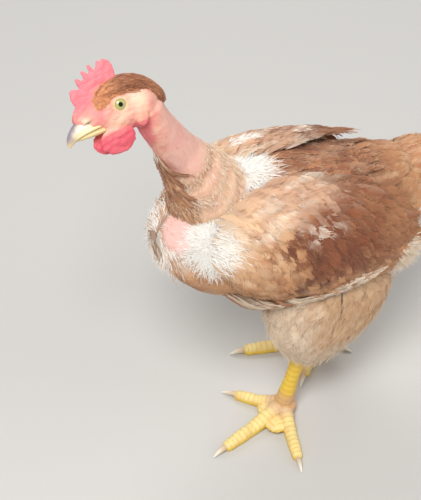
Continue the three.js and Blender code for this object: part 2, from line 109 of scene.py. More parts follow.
def through(values, t):
    """A value, or a point, that runs smoothly through a list, t from 0 to 1."""
    values = np.asarray(values, float)
    t = np.asarray(t, float)
    at = np.clip(t, 0, 1) * (len(values) - 1)
    i = np.minimum(at.astype(int), len(values) - 2)
    f = at - i
    if values.ndim > 1:
        f = f[..., None]
    before, a, b = values[np.maximum(i - 1, 0)], values[i], values[i + 1]
    after = values[np.minimum(i + 2, len(values) - 1)]
    slope_a, slope_b = (b - before) / 2, (after - a) / 2
    f2, f3 = f * f, f * f * f
    at_a, at_b = 2 * f3 - 3 * f2 + 1, 3 * f2 - 2 * f3
    return at_a * a + (f3 - 2 * f2 + f) * slope_a + at_b * b + (f3 - f2) * slope_b


def ripple(p, scale, seed=0):
    """A soft uneven value from -1 to 1 over points, with hills about scale across."""
    p = np.asarray(p, float) / scale
    turns = np.random.default_rng(900 + seed).uniform(-1, 1, (5, 3))
    phase = np.random.default_rng(300 + seed).uniform(0, 6.28, 5)
    waves = [np.sin(p @ (unit(turns[i]) * (2.2 + 0.9 * i)) + phase[i]) for i in range(5)]
    return sum(waves) / 3.2


# The least half size of a form, which keeps its ends from folding over
THINNEST = 0.05


class Form:
    """A long fleshy form: a line, and half sizes across, above and below along it."""

    def __init__(self, line, wide, high, low=None, ends=(0.1, 0.1), side=(0, 1, 0)):
        self.line, self.wide, self.high = line, wide, high
        self.low = high if low is None else low
        self.ends = ends
        self.side = np.array(side, float)

    def axes(self, t):
        """The directions across and up at t along the line."""
        ahead = through(self.line, np.minimum(t + 0.01, 1))
        behind = through(self.line, np.maximum(t - 0.01, 0))
        along = unit(ahead - behind)
        across = unit(self.side - along * (along @ self.side)[..., None])
        up = unit(np.cross(along, across))
        return across, np.where(up[..., 2:3] < 0, -up, up)

    def taper(self, t):
        """How much of the half sizes is left at t: both ends are rounded."""
        start = np.clip(1 - t / self.ends[0], 0, 1)
        end = np.clip(1 - (1 - t) / self.ends[1], 0, 1)
        return np.sqrt(1 - start**2) * np.sqrt(1 - end**2)

    def point(self, t, angle, lift=0.0):
        """The surface at t along and angle round (0 right, 90 up, 180 left), lifted off it."""
        t, angle, lift = np.broadcast_arrays(*(np.asarray(value, float) for value in (t, angle, lift)))
        across, up = self.axes(t)
        c, s = np.cos(angle), np.sin(angle)
        half = np.where(s > 0, through(self.high, t), through(self.low, t))
        wide = np.maximum(through(self.wide, t) * self.taper(t) + lift, THINNEST)
        tall = np.maximum(half * self.taper(t) + lift, THINNEST)
        return through(self.line, t) + across * (wide * c)[..., None] + up * (tall * s)[..., None]

    def steps(self, t, angle, lift=0.0):
        """The surface's two directions at points on it, along and round, in millimetres a unit."""
        e = 0.01
        low, high = np.clip(t - e, 0.001, 0.999), np.clip(t + e, 0.001, 0.999)
        along = (self.point(high, angle, lift) - self.point(low, angle, lift)) / (high - low)[..., None]
        round_ = (self.point(t, angle + e, lift) - self.point(t, angle - e, lift)) / (2 * e)
        return along, round_

    def out(self, t, angle, lift=0.0):
        """The way the surface looks."""
        along, round_ = self.steps(np.clip(t, 0.004, 0.996), angle, lift)
        normal = unit(np.cross(along, round_))
        ahead = self.point(t, angle, lift + 1) - self.point(t, angle, lift)
        return normal * np.sign(np.sum(normal * ahead, axis=-1, keepdims=True) + 1e-12)

    def mesh(self, around, along, lift=0.0):
        """A closed grid over the form, as a bmesh in the bird's frame."""
        bm = bmesh.new()
        bmesh.ops.create_uvsphere(bm, u_segments=around, v_segments=along, radius=1)
        co = np.array([v.co for v in bm.verts])
        share = np.arccos(np.clip(-co[:, 2], -1, 1)) / math.pi
        t = 0.4 * share + 0.6 * (1 - np.cos(math.pi * share)) / 2
        spots = self.point(np.clip(t, 0.0005, 0.9995), np.arctan2(co[:, 1], co[:, 0]), lift)
        for v, p in zip(bm.verts, spots):
            v.co = p
        bmesh.ops.recalc_face_normals(bm, faces=bm.faces)
        return bm


# The same forms as the solids
TORSO = Form(
    [(-135, 0, 214), (-112, 0, 212), (-78, 0, 209), (-40, 0, 203), (0, 0, 195), (36, 0, 187), (68, 0, 187),
     (94, 0, 192), (118, 0, 199)],
    (34, 48, 61, 66, 66, 60, 49, 36, 24), (34, 44, 57, 64, 63, 62, 61, 52, 38),
    (30, 42, 54, 60, 66, 68, 59, 42, 22), (0.2, 0.12),
)
NECK = Form(
    [(-141, -4, 362), (-135, -4, 342), (-122, -2, 318), (-109, 0, 294), (-95, 0, 268), (-78, 0, 236)],
    (13, 14, 14.5, 17, 27, 38), (12, 14, 15.5, 19, 27, 34), (11, 12.5, 14, 18, 28, 40), (0.08, 0.08),
)
CARRIER = Form(
    [(-125, 0, 212), (-95, 0, 210), (-50, 0, 205), (0, 0, 198), (50, 0, 191), (100, 0, 188), (140, 0, 190)],
    (42, 57, 67, 68.5, 64, 50, 36), (40, 52, 63, 64, 60, 48, 34), (40, 50, 60, 64, 60, 48, 34), (0.02, 0.02),
)
SKULL = Form(
    [(-34, 0, -1), (-24, 0, -3), (-12, 0, -3.5), (0, 0, -3.5), (12, 0, -3.5), (23, 0, -4), (32, 0, -5)],
    (5.5, 8.8, 11.8, 14.2, 14.8, 13.4, 9), (4.5, 8.8, 14.5, 18.2, 18.4, 15.5, 9.5),
    (5, 9.4, 13.6, 17.4, 19, 17.5, 11), (0.12, 0.2),
)
CROWN = Form(
    [(-14, 0, 8), (-2, 0, 11), (11, 0, 11), (22, 0, 6), (31, 0, -3), (35.5, 0, -13)],
    (7, 12.5, 14.2, 13, 9.4, 4), (3.5, 5.5, 6, 6, 4.5, 2), (6, 7, 7, 9, 6, 2.5), (0.14, 0.16),
)
BILL = Form(
    [(-14, 0, -7.5), (-24, 0, -7.5), (-32.5, 0, -9.2), (-39, 0, -12.4), (-43.6, 0, -18)],
    (8, 7.6, 6, 3.8, 1.4), (7, 7.4, 5.8, 3.6, 1.2), (6, 6.2, 5.2, 4, 1.6), (0.12, 0.16),
)
LOWER_BILL = Form(
    [(-13, 0, -16.4), (-22, 0, -15.9), (-31, 0, -16), (-38, 0, -16.8)],
    (7.2, 6.6, 4.8, 2), (3.4, 3.6, 3, 1.4), (3, 3.2, 2.6, 1), (0.1, 0.2),
)
# The eyeballs' distance from the head's middle plane and their radius, the lids' radius, the oval round them
EYE_OUT, EYE_RADIUS = 9.8, 6.0
LID_RADIUS = 4.2
EYELID_STRETCH = (1.08, 0.92)
FEET = {
    "left": {"at": (-31, -38), "heading": -164, "side": -1, "hock": (-15, -44, 97),
             "thigh": ((-12, 68), (-9, 80), (-3, 108), (3, 140), (6, 172)), "fluff": (10, 30, 50, 60, 52)},
    "right": {"at": (36, 24), "heading": 166, "side": 1, "hock": (48, 33, 97),
              "thigh": ((46, 68), (44, 80), (38, 108), (30, 140), (22, 172)), "fluff": (10, 24, 42, 56, 50)},
}
JOINT_HEIGHT = 15
CLAW_LENGTH = 15
# The claw's shares along, with how far each lies above the toe's end
CLAW_ARCH = ((-0.25, 0), (0.15, 0.9), (0.55, 0.3), (1, 0))
CLAW_REACH = 0.995 * CLAW_LENGTH
CLAW_TIP_HEIGHT = 0.7
TOE_THICK = 5.2
# Each toe's name, turn from the foot's heading, reach with its claw, share of thickness, and count for its plates
TOES = (
    ("inner", 62, 57, 0.86, 6),
    ("middle", 0, 81, 1.0, 8),
    ("outer", -60, 70, 0.86, 7),
    ("back", 148, 33, 0.74, 3),
)
# How much of a toe's half height its middle line stands over the floor, and the least heights of that line
SINK = 0.88
TOE_ARCH = (11, 8, 0, 0, 0)


def thigh_form(name):
    """The left or the right thigh with its feathers' bulk."""
    foot = FEET[name]
    _, hy, hz = foot["hock"]
    line = [(x, hy + foot["side"] * (z - hz) / 60, z) for x, z in foot["thigh"]]
    return Form(line, (8, 15, 23, 26, 22), foot["fluff"], None, (0.08, 0.1))


def shank_form(name):
    """The left or the right shank, from the joint over the toes up to the hock."""
    foot = FEET[name]
    start = np.array([*foot["at"], JOINT_HEIGHT - 4.0])
    end = np.array(foot["hock"], float)
    line = [tuple(start + (end - start) * share) for share in (-0.04, 0.12, 0.35, 0.6, 0.85, 1)]
    return Form(line, (8.4, 7.4, 5.8, 5.6, 6.8, 7.6), (8, 7.6, 6.4, 6.4, 7.4, 8.4), None, (0.1, 0.08))


def toe_parts(name, toe):
    """A toe's form, its way along the floor, and where its claw starts."""
    foot = FEET[name]
    label, turn, reach, thick, _ = toe
    heading = math.radians(foot["heading"] + foot["side"] * turn)
    way = np.array([math.cos(heading), math.sin(heading), 0])
    base = np.array([*foot["at"], 0.0])
    half = TOE_THICK * thick
    bone = reach - CLAW_LENGTH * 0.8
    shares = (-0.1, 0.3, 0.55, 0.8, 1) if label == "back" else (-0.02, 0.22, 0.5, 0.8, 1)
    size = [half * (1.12 + (0.68 - 1.12) * i / 4) for i in range(5)]
    line = [tuple(base + way * bone * s + np.array([0, 0, max(size[i] * SINK, TOE_ARCH[i])]))
            for i, s in enumerate(shares)]
    side = (-way[1], way[0], 0)
    return Form(line, size, size, None, (0.1, 0.1), side), way, np.array(line[4]), half


# Colours

def srgb(r, g, b):
    """A colour given as seen, in the linear values that shaders use."""
    return np.array([c / 12.92 if c <= 0.04045 else ((c + 0.055) / 1.055) ** 2.4 for c in (r, g, b)])


def mixed(a, b, share):
    """Colours a and b mixed, share from 0 to 1 for each point."""
    return a + (b - a) * np.asarray(share)[..., None]


def layered(base, *layers):
    """A colour with others laid over it in turn, each given with its share."""
    for colour, share in layers:
        base = mixed(base, colour, share)
    return base


WHITE = srgb(0.93, 0.90, 0.85)
CREAM = srgb(0.91, 0.79, 0.65)
BUFF = srgb(0.80, 0.59, 0.41)
TAN = srgb(0.70, 0.46, 0.30)
RUST = srgb(0.54, 0.30, 0.18)
UMBER = srgb(0.37, 0.19, 0.12)
SLATE = srgb(0.30, 0.29, 0.31)
DOWN_WHITE = srgb(1.0, 0.985, 0.96)
PINK = srgb(0.92, 0.52, 0.52)
RED = srgb(0.86, 0.33, 0.40)
IVORY = srgb(0.97, 0.86, 0.74)


class Pullet(bpy.types.PropertyGroup):
    """Sizes and finishes that a user may change."""

    coat_depth: bpy.props.FloatProperty(
        name="Coat depth", description="How far the feathers lie over the skin", default=0.007,
        min=0.002, max=0.012, subtype="DISTANCE", unit="LENGTH")
    feather_gap: bpy.props.FloatProperty(
        name="Feather spacing", description="Distance between the roots of body feathers", default=0.0064,
        min=0.005, max=0.02, subtype="DISTANCE", unit="LENGTH")
    skin_roughness: bpy.props.FloatProperty(
        name="Skin roughness", description="How dull the bare skin is", default=0.55, min=0.0, max=1.0,
        subtype="FACTOR")
    feather_roughness: bpy.props.FloatProperty(
        name="Feather roughness", description="How dull the feathers are", default=0.8, min=0.0, max=1.0,
        subtype="FACTOR")
    floor_colour: bpy.props.FloatVectorProperty(
        name="Floor", description="Colour of the floor", default=(0.56, 0.55, 0.53), min=0, max=1, size=3,
        subtype="COLOR")


def settings():
    """The values that the panel shows."""
    return bpy.context.scene.pullet


# Materials

# How far red, green and blue light runs under the skin, in metres, and two textures' scales
BLOOD_REACH = (0.004, 0.0015, 0.0008)
PATCH_SCALE = 260
BARB_SCALE = 3.2


def noise(tree, place, scale, detail):
    """The output of a noise over the object's own space."""
    made = tree.nodes.new("ShaderNodeTexNoise")
    made.inputs["Scale"].default_value = scale
    made.inputs["Detail"].default_value = detail
    tree.links.new(place.outputs["Object"], made.inputs["Vector"])
    return made.outputs["Fac"]


def shaded(tree, colour, value, darkest, brightest):
    """A colour times an amount that a value from 0 to 1 moves from darkest to brightest."""
    amount = tree.nodes.new("ShaderNodeMapRange")
    amount.inputs["To Min"].default_value = darkest
    amount.inputs["To Max"].default_value = brightest
    tree.links.new(value, amount.inputs["Value"])
    scaled = tree.nodes.new("ShaderNodeVectorMath")
    scaled.operation = "SCALE"
    tree.links.new(colour, scaled.inputs[0])
    tree.links.new(amount.outputs["Result"], scaled.inputs["Scale"])
    return scaled.outputs["Vector"]


def material(name, roughness, subsurface=0.0, coat=0.0, bumps=(), patch=0.0, barbs=0.0, sheen=0.0):
    """A finish that takes its colour from the tint stored on the mesh, with small bumps and uneven shade."""
    made = bpy.data.materials.new(name)
    made.use_nodes = True
    tree = made.node_tree
    shader = tree.nodes["Principled BSDF"]
    shader.inputs["Roughness"].default_value = roughness
    shader.inputs["Subsurface Weight"].default_value = subsurface
    shader.inputs["Subsurface Radius"].default_value = BLOOD_REACH
    shader.inputs["Subsurface Scale"].default_value = 1.0
    shader.inputs["Coat Weight"].default_value = coat
    shader.inputs["Sheen Weight"].default_value = sheen
    tint = tree.nodes.new("ShaderNodeAttribute")
    tint.attribute_name = "tint"
    colour = tint.outputs["Color"]
    place = tree.nodes.new("ShaderNodeTexCoord")
    if patch:
        colour = shaded(tree, colour, noise(tree, place, PATCH_SCALE, 4), 1 - patch, 1 + patch)
    if barbs:
        own = tree.nodes.new("ShaderNodeUVMap")
        own.uv_map = "Vane"
        wave = tree.nodes.new("ShaderNodeTexWave")
        wave.inputs["Scale"].default_value = BARB_SCALE
        wave.inputs["Distortion"].default_value = 2.0
        wave.inputs["Detail"].default_value = 2.0
        wave.bands_direction = "DIAGONAL"
        tree.links.new(own.outputs["UV"], wave.inputs["Vector"])
        colour = shaded(tree, colour, wave.outputs["Fac"], 1 - barbs, 1 + barbs * 0.5)
    tree.links.new(colour, shader.inputs["Base Color"])
    normal = None
    for scale, strength, distance in bumps:
        height = noise(tree, place, scale, 3)
        bump = tree.nodes.new("ShaderNodeBump")
        bump.inputs["Strength"].default_value = strength
        bump.inputs["Distance"].default_value = distance
        tree.links.new(height, bump.inputs["Height"])
        if normal is not None:
            tree.links.new(normal, bump.inputs["Normal"])
        normal = bump.outputs["Normal"]
    if normal is not None:
        tree.links.new(normal, shader.inputs["Normal"])
    return made


# Meshes

def finished(name, mesh, finish, replaces=()):
    """Links a mesh as a piece of the bird."""
    made = bpy.data.objects.new(name, mesh)
    bpy.context.scene.collection.objects.link(made)
    mesh.materials.append(finish)
    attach(made, "root")
    if replaces:
        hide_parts(*replaces)
    return made


def tinted(mesh, colours):
    """Stores one colour for each vertex."""
    layer = mesh.attributes.new("tint", "FLOAT_COLOR", "POINT")
    values = np.ones((len(mesh.vertices), 4), np.float32)
    values[:, :3] = np.clip(colours, 0, 1)
    layer.data.foreach_set("color", values.ravel())


def spots_of(mesh):
    """A mesh's vertices as an array."""
    co = np.zeros(len(mesh.vertices) * 3, np.float32)
    mesh.vertices.foreach_get("co", co)
    return co.reshape(-1, 3).astype(float)


def put_spots(mesh, co):
    """Moves a mesh's vertices to the places in an array."""
    mesh.vertices.foreach_set("co", np.asarray(co, np.float32).ravel())
    mesh.update()


def placed(p):
    """Millimetres in the bird's frame to metres in the frame of the solids."""
    return (np.asarray(p) + SHIFT) / 1000


def mesh_of(bm, name):
    """A mesh in metres from a bmesh in the bird's frame, which is freed."""
    mesh = bpy.data.meshes.new(name)
    bm.to_mesh(mesh)
    bm.free()
    put_spots(mesh, placed(spots_of(mesh)))
    return mesh


def shaped(bm, name, colours, finish, replaces=(), ending=""):
    """Makes a bmesh in the bird's frame a smooth piece, with one colour for each vertex."""
    mesh = mesh_of(bm, name)
    mesh.shade_smooth()
    tinted(mesh, colours)
    return finished(name + ending, mesh, finish, replaces)


def joined(meshes):
    """One bmesh with the contents of several."""
    whole = bmesh.new()
    for bm in meshes:
        mesh = bpy.data.meshes.new("part")
        bm.to_mesh(mesh)
        bm.free()
        whole.from_mesh(mesh)
        bpy.data.meshes.remove(mesh)
    return whole


def cast(bm, voxel, smooth=2):
    """One skin over everything in a bmesh, as a new bmesh in the same millimetres."""
    mesh = bpy.data.meshes.new("cast")
    bm.to_mesh(mesh)
    bm.free()
    body = bpy.data.objects.new("cast", mesh)
    bpy.context.scene.collection.objects.link(body)
    remesh = body.modifiers.new("Skin", "REMESH")
    remesh.mode = "VOXEL"
    remesh.voxel_size = voxel
    soften = body.modifiers.new("Soften", "SMOOTH")
    soften.factor = 0.5
    soften.iterations = smooth
    bpy.context.view_layer.update()
    result = bmesh.new()
    result.from_object(body, bpy.context.evaluated_depsgraph_get())
    bpy.data.objects.remove(body)
    bpy.data.meshes.remove(mesh)
    return result


def node_copy(name, move):
    """A CAD node's shape as a merged bmesh in the bird's frame, moved a little."""
    bm = bmesh.new()
    bm.from_mesh(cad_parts[name].data)
    bmesh.ops.remove_doubles(bm, verts=bm.verts, dist=1e-6)
    for v in bm.verts:
        v.co = v.co * 1000 - Vector(SHIFT) + Vector(move)
    bmesh.ops.recalc_face_normals(bm, faces=bm.faces)
    return bm


def head_mesh(bm):
    """A bmesh from the head's own frame to the bird's."""
    for v in bm.verts:
        v.co = from_head(v.co)
    return bm


def ball(centre, sizes, around=20, along=12):
    """An oval ball as a bmesh."""
    bm = bmesh.new()
    bmesh.ops.create_uvsphere(bm, u_segments=around, v_segments=along, radius=1)
    bmesh.ops.scale(bm, vec=Vector(sizes), verts=bm.verts)
    bmesh.ops.translate(bm, vec=Vector(centre), verts=bm.verts)
    return bm


COMB_HUB = (-4.8, 1.2)
COMB_HALF = 2.3
# Each turn up from the front, and how far the comb's rim lies from its hub: tips and the notches between them
COMB_RIM = (
    (-90, 6), (-40, 15), (-12, 24), (2, 28.6), (14, 24.6), (24, 27.5), (36, 30.4), (40.5, 30), (44, 26),
    (46.5, 22.5), (50, 26.5), (54, 30.2), (58.5, 30), (61, 26), (63, 22.5), (65.5, 27), (68, 31), (72.5, 31),
    (74.7, 27.5), (76.3, 23.5), (78.3, 29), (80.2, 32.6), (84.3, 32), (86.3, 28), (88, 23.5), (91, 30),
    (95.5, 33.2), (99, 31.6), (102, 33), (107, 32), (115, 30), (122, 24), (129, 17), (150, 9), (270, 6),
)


def comb_blade():
    """The single comb: a thin toothed plate that stands on the brow, as a bmesh in the head's frame."""
    bm = bmesh.new()
    bmesh.ops.create_uvsphere(bm, u_segments=220, v_segments=22, radius=1)
    co = np.array([v.co for v in bm.verts])
    turn = (np.degrees(np.arctan2(co[:, 1], co[:, 0])) + 90) % 360 - 90
    rim = np.interp(turn, [r[0] for r in COMB_RIM], [r[1] for r in COMB_RIM])
    out = np.hypot(co[:, 0], co[:, 1])
    thick = COMB_HALF * np.sign(co[:, 2]) * np.abs(co[:, 2]) ** 0.55 * (1 - 0.25 * out)
    angle = np.radians(turn)
    for v, r, y, a in zip(bm.verts, rim * out, thick, angle):
        v.co = (COMB_HUB[0] - r * math.cos(a), y, COMB_HUB[1] + r * math.sin(a))
    bmesh.ops.recalc_face_normals(bm, faces=bm.faces)
    return bm


def ring(centre, radius, tube, stretch):
    """A ring round the Y axis, for an eyelid."""
    bm = bmesh.new()
    bmesh.ops.create_circle(bm, segments=10, radius=tube, cap_ends=False,
                            matrix=Matrix.Translation((radius, 0, 0)))
    bmesh.ops.spin(bm, geom=bm.verts[:] + bm.edges[:], cent=(0, 0, 0), axis=(0, 1, 0), angle=2 * math.pi,
                   steps=32, use_merge=True)
    bmesh.ops.scale(bm, vec=Vector(stretch), verts=bm.verts)
    bmesh.ops.translate(bm, vec=Vector(centre), verts=bm.verts)
    bmesh.ops.recalc_face_normals(bm, faces=bm.faces)
    return bm


# Feathers

BARB_WIDE = 0.42
# Where along a feather its cross sections stand
STATIONS = np.array([0, 0.1, 0.26, 0.44, 0.6, 0.74, 0.87, 0.96, 1.0])


def tube_faces(rings, sides):
    """Triangles of closed tubes: a point, rings of points, a point."""
    faces = [(0, 1 + (j + 1) % sides, 1 + j) for j in range(sides)]
    for k in range(rings - 1):
        a, b = 1 + sides * k, 1 + sides * (k + 1)
        for j in range(sides):
            n = (j + 1) % sides
            faces += [(a + j, a + n, b + n), (a + j, b + n, b + j)]
    last = 1 + sides * rings
    faces += [(last - sides + j, last - sides + (j + 1) % sides, last) for j in range(sides)]
    return np.array(faces)


def outline_width(s, blunt):
    """A feather's half width along it, from 0 to 1: blunt feathers are widest near the tip."""
    peak = 0.45 + 0.2 * blunt
    span = np.where(s < peak, peak / 0.94, 1 - peak)
    return np.sqrt(np.clip(1 - ((s - peak) / span) ** 2, 0, 1)) * (0.55 + 0.45 * ease(s, 0, peak))


class Plumage:
    """Gathers feathers and strands, then makes them one mesh."""

    def __init__(self):
        self.spots, self.tints, self.bakes, self.vanes, self.faces = [], [], [], [], []
        self.count = 0

    def gather(self, spots, tints, bakes, vanes, faces):
        """Takes n closed tubes of m points each."""
        n, m = spots.shape[:2]
        base = self.count + m * np.arange(n)
        self.faces.append((faces[None] + base[:, None, None]).reshape(-1, 3))
        self.spots.append(spots.reshape(-1, 3))
        self.tints.append(np.broadcast_to(tints, (n, m, 3)).reshape(-1, 3))
        self.bakes.append(np.broadcast_to(bakes, (n, m, 2)).reshape(-1, 2))
        self.vanes.append(np.broadcast_to(vanes, (n, m, 2)).reshape(-1, 2))
        self.count += n * m

    def strands(self, root, way, out, length, wide, tints, root_uv, sag=None, rings=1):
        """Thin pointed hairs. tints holds the colours of their roots and tips, sag how far the tips bend."""
        n = len(root)
        s = np.linspace(0, 1, rings + 2)
        centre = root[:, None] + (way * length[:, None])[:, None] * s[None, :, None]
        if sag is not None:
            centre = centre + sag[:, None] * (s**2)[None, :, None]
        across = unit(np.cross(way, out))
        up = np.cross(across, way)
        turn = np.radians([90, 210, 330])
        ring_ = across[:, None] * np.cos(turn)[None, :, None]
        ring_ = ring_ + up[:, None] * (0.6 * np.sin(turn))[None, :, None]
        radius = wide[:, None] * (1 - 0.55 * s[None, 1:-1])
        body = centre[:, 1:-1, None] + ring_[:, None] * radius[:, :, None, None]
        spots = np.concatenate([centre[:, :1], body.reshape(n, rings * 3, 3), centre[:, -1:]], axis=1)
        share = np.concatenate([[0], np.repeat(s[1:-1], 3), [1]])
        colours = tints[0][:, None] + (tints[1] - tints[0])[:, None] * share[None, :, None]
        patch = np.stack([np.zeros_like(share), 0.0028 * share], axis=-1)[None] + root_uv[:, None]
        vane = np.stack([np.full_like(share, 0.5), share * 4], axis=-1)[None]
        self.gather(spots, colours, patch, vane, tube_faces(rings, 3))

    def blades(self, centre, out, wide, colour, root_uv, thick=0.45, curl=45.0, notch=0.1, blunt=0.5,
               stations=STATIONS, barbs=12, reach=6.0, shade=0.04):
        """Feathers along centre lines (n, k, 3) whose faces look along out, with loose barbs on their edges.

        colour(q, s, x, r) gets points q, their shares s along and x across, and a random r for each feather.
        """
        n, k = centre.shape[:2]
        rings = k - 2
        along = unit(np.gradient(centre, axis=1))
        across = unit(np.cross(along, out))
        half = wide[:, None] * outline_width(stations, blunt)[None, :]
        left = half * (1 + notch * RNG.uniform(-1, 1, (n, k)))
        right = half * (1 + notch * RNG.uniform(-1, 1, (n, k)))
        rise = thick / 2 * np.ones((n, k))
        rise[:, -2] *= 0.6
        body = slice(1, k - 1)
        c, o, a = centre[:, body], out[:, body], across[:, body]
        l, r, h = left[:, body, None], right[:, body, None], rise[:, body, None]
        edges = c - a * l - o * l**2 / curl, c + a * r - o * r**2 / curl
        quads = np.stack([edges[0], c - o * h, edges[1], c + o * h], axis=2)
        spots = np.concatenate([centre[:, :1], quads.reshape(n, rings * 4, 3), centre[:, -1:]], axis=1)
        s = np.concatenate([[0], np.repeat(stations[body], 4), [1]])[None]
        x = np.concatenate([[0], np.tile([-1.0, 0, 1.0, 0], rings), [0]])[None]
        own = RNG.uniform(0, 1, (n, 1))
        bright = 1 + shade * RNG.normal(0, 1, (n, 1, 1))
        tints = colour(spots, s, x, own) * bright
        bakes = root_uv[:, None, :] + np.stack([0.0014 * x, 0.0028 * s], axis=-1)
        vanes = np.stack([x, s * 4], axis=-1) + RNG.uniform(0, 9, (n, 1, 2))
        self.gather(spots, tints, bakes, vanes, tube_faces(rings, 4))
        if barbs:
            self.fringe(centre, out, along, across, wide, colour, own, bright, root_uv, stations, blunt, curl,
                        barbs, reach)

    def fringe(self, centre, out, along, across, wide, colour, own, bright, root_uv, stations, blunt, curl,
               barbs, reach):
        """Loose barbs along the edges and the tip of each feather."""
        n = len(centre)
        s = 1 - 0.66 * RNG.uniform(0, 1, (n, barbs)) ** 1.25
        side = RNG.choice([-1.0, 1.0], (n, barbs))
        at = np.clip(np.searchsorted(stations, s) - 1, 0, len(stations) - 2)
        f = ((s - stations[at]) / (stations[at + 1] - stations[at]))[..., None]
        row = np.arange(n)[:, None]

        def pick(values):
            return values[row, at] * (1 - f) + values[row, at + 1] * f

        def flat(values):
            return values.reshape(n * barbs, -1)

        w = (wide[:, None] * outline_width(s, blunt) * RNG.uniform(0.1, 0.92, (n, barbs)))[..., None]
        o, a, d = pick(out), pick(across) * side[..., None], pick(along)
        root = pick(centre) + a * w - o * (w**2 / curl) + o * 0.12
        splay = 0.12 + 0.5 * fade(s, 0.55, 1.0) + RNG.normal(0, 0.12, (n, barbs))
        way = unit(d * np.cos(splay)[..., None] + a * np.sin(splay)[..., None] - o * (0.02 + 0.5 * w / curl))
        tint = colour(root, s, side * 0.9, own) * bright * (1 + 0.13 * RNG.normal(0, 1, (n, barbs, 1)))
        length = reach * RNG.uniform(0.6, 1.15, n * barbs)
        uv = root_uv[:, None] + np.stack([0.0012 * side, np.zeros_like(s)], axis=-1)
        self.strands(flat(root), flat(way), flat(o), length, np.full(n * barbs, BARB_WIDE),
                     (flat(tint), flat(tint * 1.06)), flat(uv))

    def mesh(self, name):
        """One mesh of everything that was gathered, in metres."""
        spots, faces = np.concatenate(self.spots), np.concatenate(self.faces)
        mesh = bpy.data.meshes.new(name)
        mesh.vertices.add(len(spots))
        mesh.vertices.foreach_set("co", placed(spots).astype(np.float32).ravel())
        mesh.loops.add(faces.size)
        mesh.loops.foreach_set("vertex_index", faces.astype(np.int32).ravel())
        mesh.polygons.add(len(faces))
        mesh.polygons.foreach_set("loop_start", (np.arange(len(faces)) * 3).astype(np.int32))
        mesh.update(calc_edges=True)
        for label, values in (("OFBake", self.bakes), ("Vane", self.vanes)):
            layer = mesh.uv_layers.new(name=label)
            layer.data.foreach_set("uv", np.concatenate(values)[faces.ravel()].astype(np.float32).ravel())
        tinted(mesh, np.concatenate(self.tints))
        mesh.shade_smooth()
        mesh.set_sharp_from_angle(angle=math.radians(70))
        return mesh


def unwrapped(t, a):
    """Where a root lies on the body's own unwrap: round and along."""
    return np.stack([(a / (2 * math.pi)) % 1, np.clip(t, 0, 1)], axis=-1) * 0.99


def laid(plumage, form, t0, a0, length, way, wide, colour, *, depth=7.0, top=0.0, to_bird=None, reverse=False,
         wild=1.0, dome=None, **look):
    """Feathers rooted on a form at t0, a0, that run along it. way turns them from its line, in radians."""
    n = len(t0)
    along, round_ = form.steps(t0, a0, np.zeros(n))
    fore = -1.0 if reverse else 1.0
    way = way + wild * RNG.normal(0, 0.1, n)
    dt = fore * length * np.cos(way) / np.linalg.norm(along, axis=-1)
    da = length * np.sin(way) / np.maximum(np.linalg.norm(round_, axis=-1), 8)
    s = look.get("stations", STATIONS)[None, :]
    t = np.clip(t0[:, None] + dt[:, None] * s, 0.003, 0.997)
    bend = wild * RNG.normal(0, 0.05, n)[:, None]
    a = a0[:, None] + da[:, None] * s + bend * s * s
    rise = -depth + (depth + top) * np.sin(np.minimum(s * 1.25, 1) * math.pi / 2) - 0.7 * ease(s, 0.72, 1.0)
    lift = rise + wild * RNG.normal(0, 0.4, n)[:, None] * s
    if dome is not None:
        lift = lift + dome(t, a)
    centre = form.point(t, a, lift)
    out = form.out(t, a, lift)
    if to_bird is not None:
        centre, out = to_bird(centre), out @ HEAD_TURN
    plumage.blades(centre, out, wide, colour, unwrapped(t0, a0), **look)


def downy(plumage, form, t, a, length, way, lean, colours, *, lift=0.0, wide=0.35, drop=0.25, reverse=False,
          rings=2):
    """Loose strands rooted on a form. way turns them from its line and lean lifts them off it, in radians."""
    n = len(t)
    root = form.point(t, a, lift)
    along, round_ = form.steps(np.clip(t, 0.01, 0.99), a, np.zeros(n))
    out = form.out(t, a)
    along, round_ = unit(along) * (-1 if reverse else 1), unit(round_)
    way, lean = way + RNG.normal(0, 0.35, n), lean + RNG.normal(0, 0.16, n)
    flat = along * np.cos(way)[:, None] + round_ * np.sin(way)[:, None]
    aim = unit(flat * np.cos(lean)[:, None] + out * np.sin(lean)[:, None])
    sag = np.array([0, 0, -1.0]) * (length * drop * RNG.uniform(0.4, 1.3, n))[:, None]
    tint = colours * (1 + 0.05 * RNG.normal(0, 1, (n, 1)))
    plumage.strands(root, aim, out, length, np.full(n, wide), (tint * 0.92, tint * 1.04), unwrapped(t, a), sag,
                    rings)


def thrown(n, low, high, first, last):
    """n random roots: shares along from low to high, turns from first to last degrees."""
    return RNG.uniform(low, high, n), np.radians(RNG.uniform(first, last, n))


def clouded(form, count, spot, size, stretch=(1, 1, 1)):
    """Random roots on a form within size of a spot, thicker in the middle."""
    t = RNG.uniform(0.01, 0.99, count * 160)
    a = RNG.uniform(0, 2 * math.pi, count * 160)
    gap = np.linalg.norm((form.point(t, a) - np.array(spot)) * np.array(stretch), axis=-1)
    chosen = np.flatnonzero(gap < size * 0.62 * np.sqrt(-np.log(RNG.uniform(0.02, 1, len(t)))))[:count]
    return t[chosen], a[chosen]


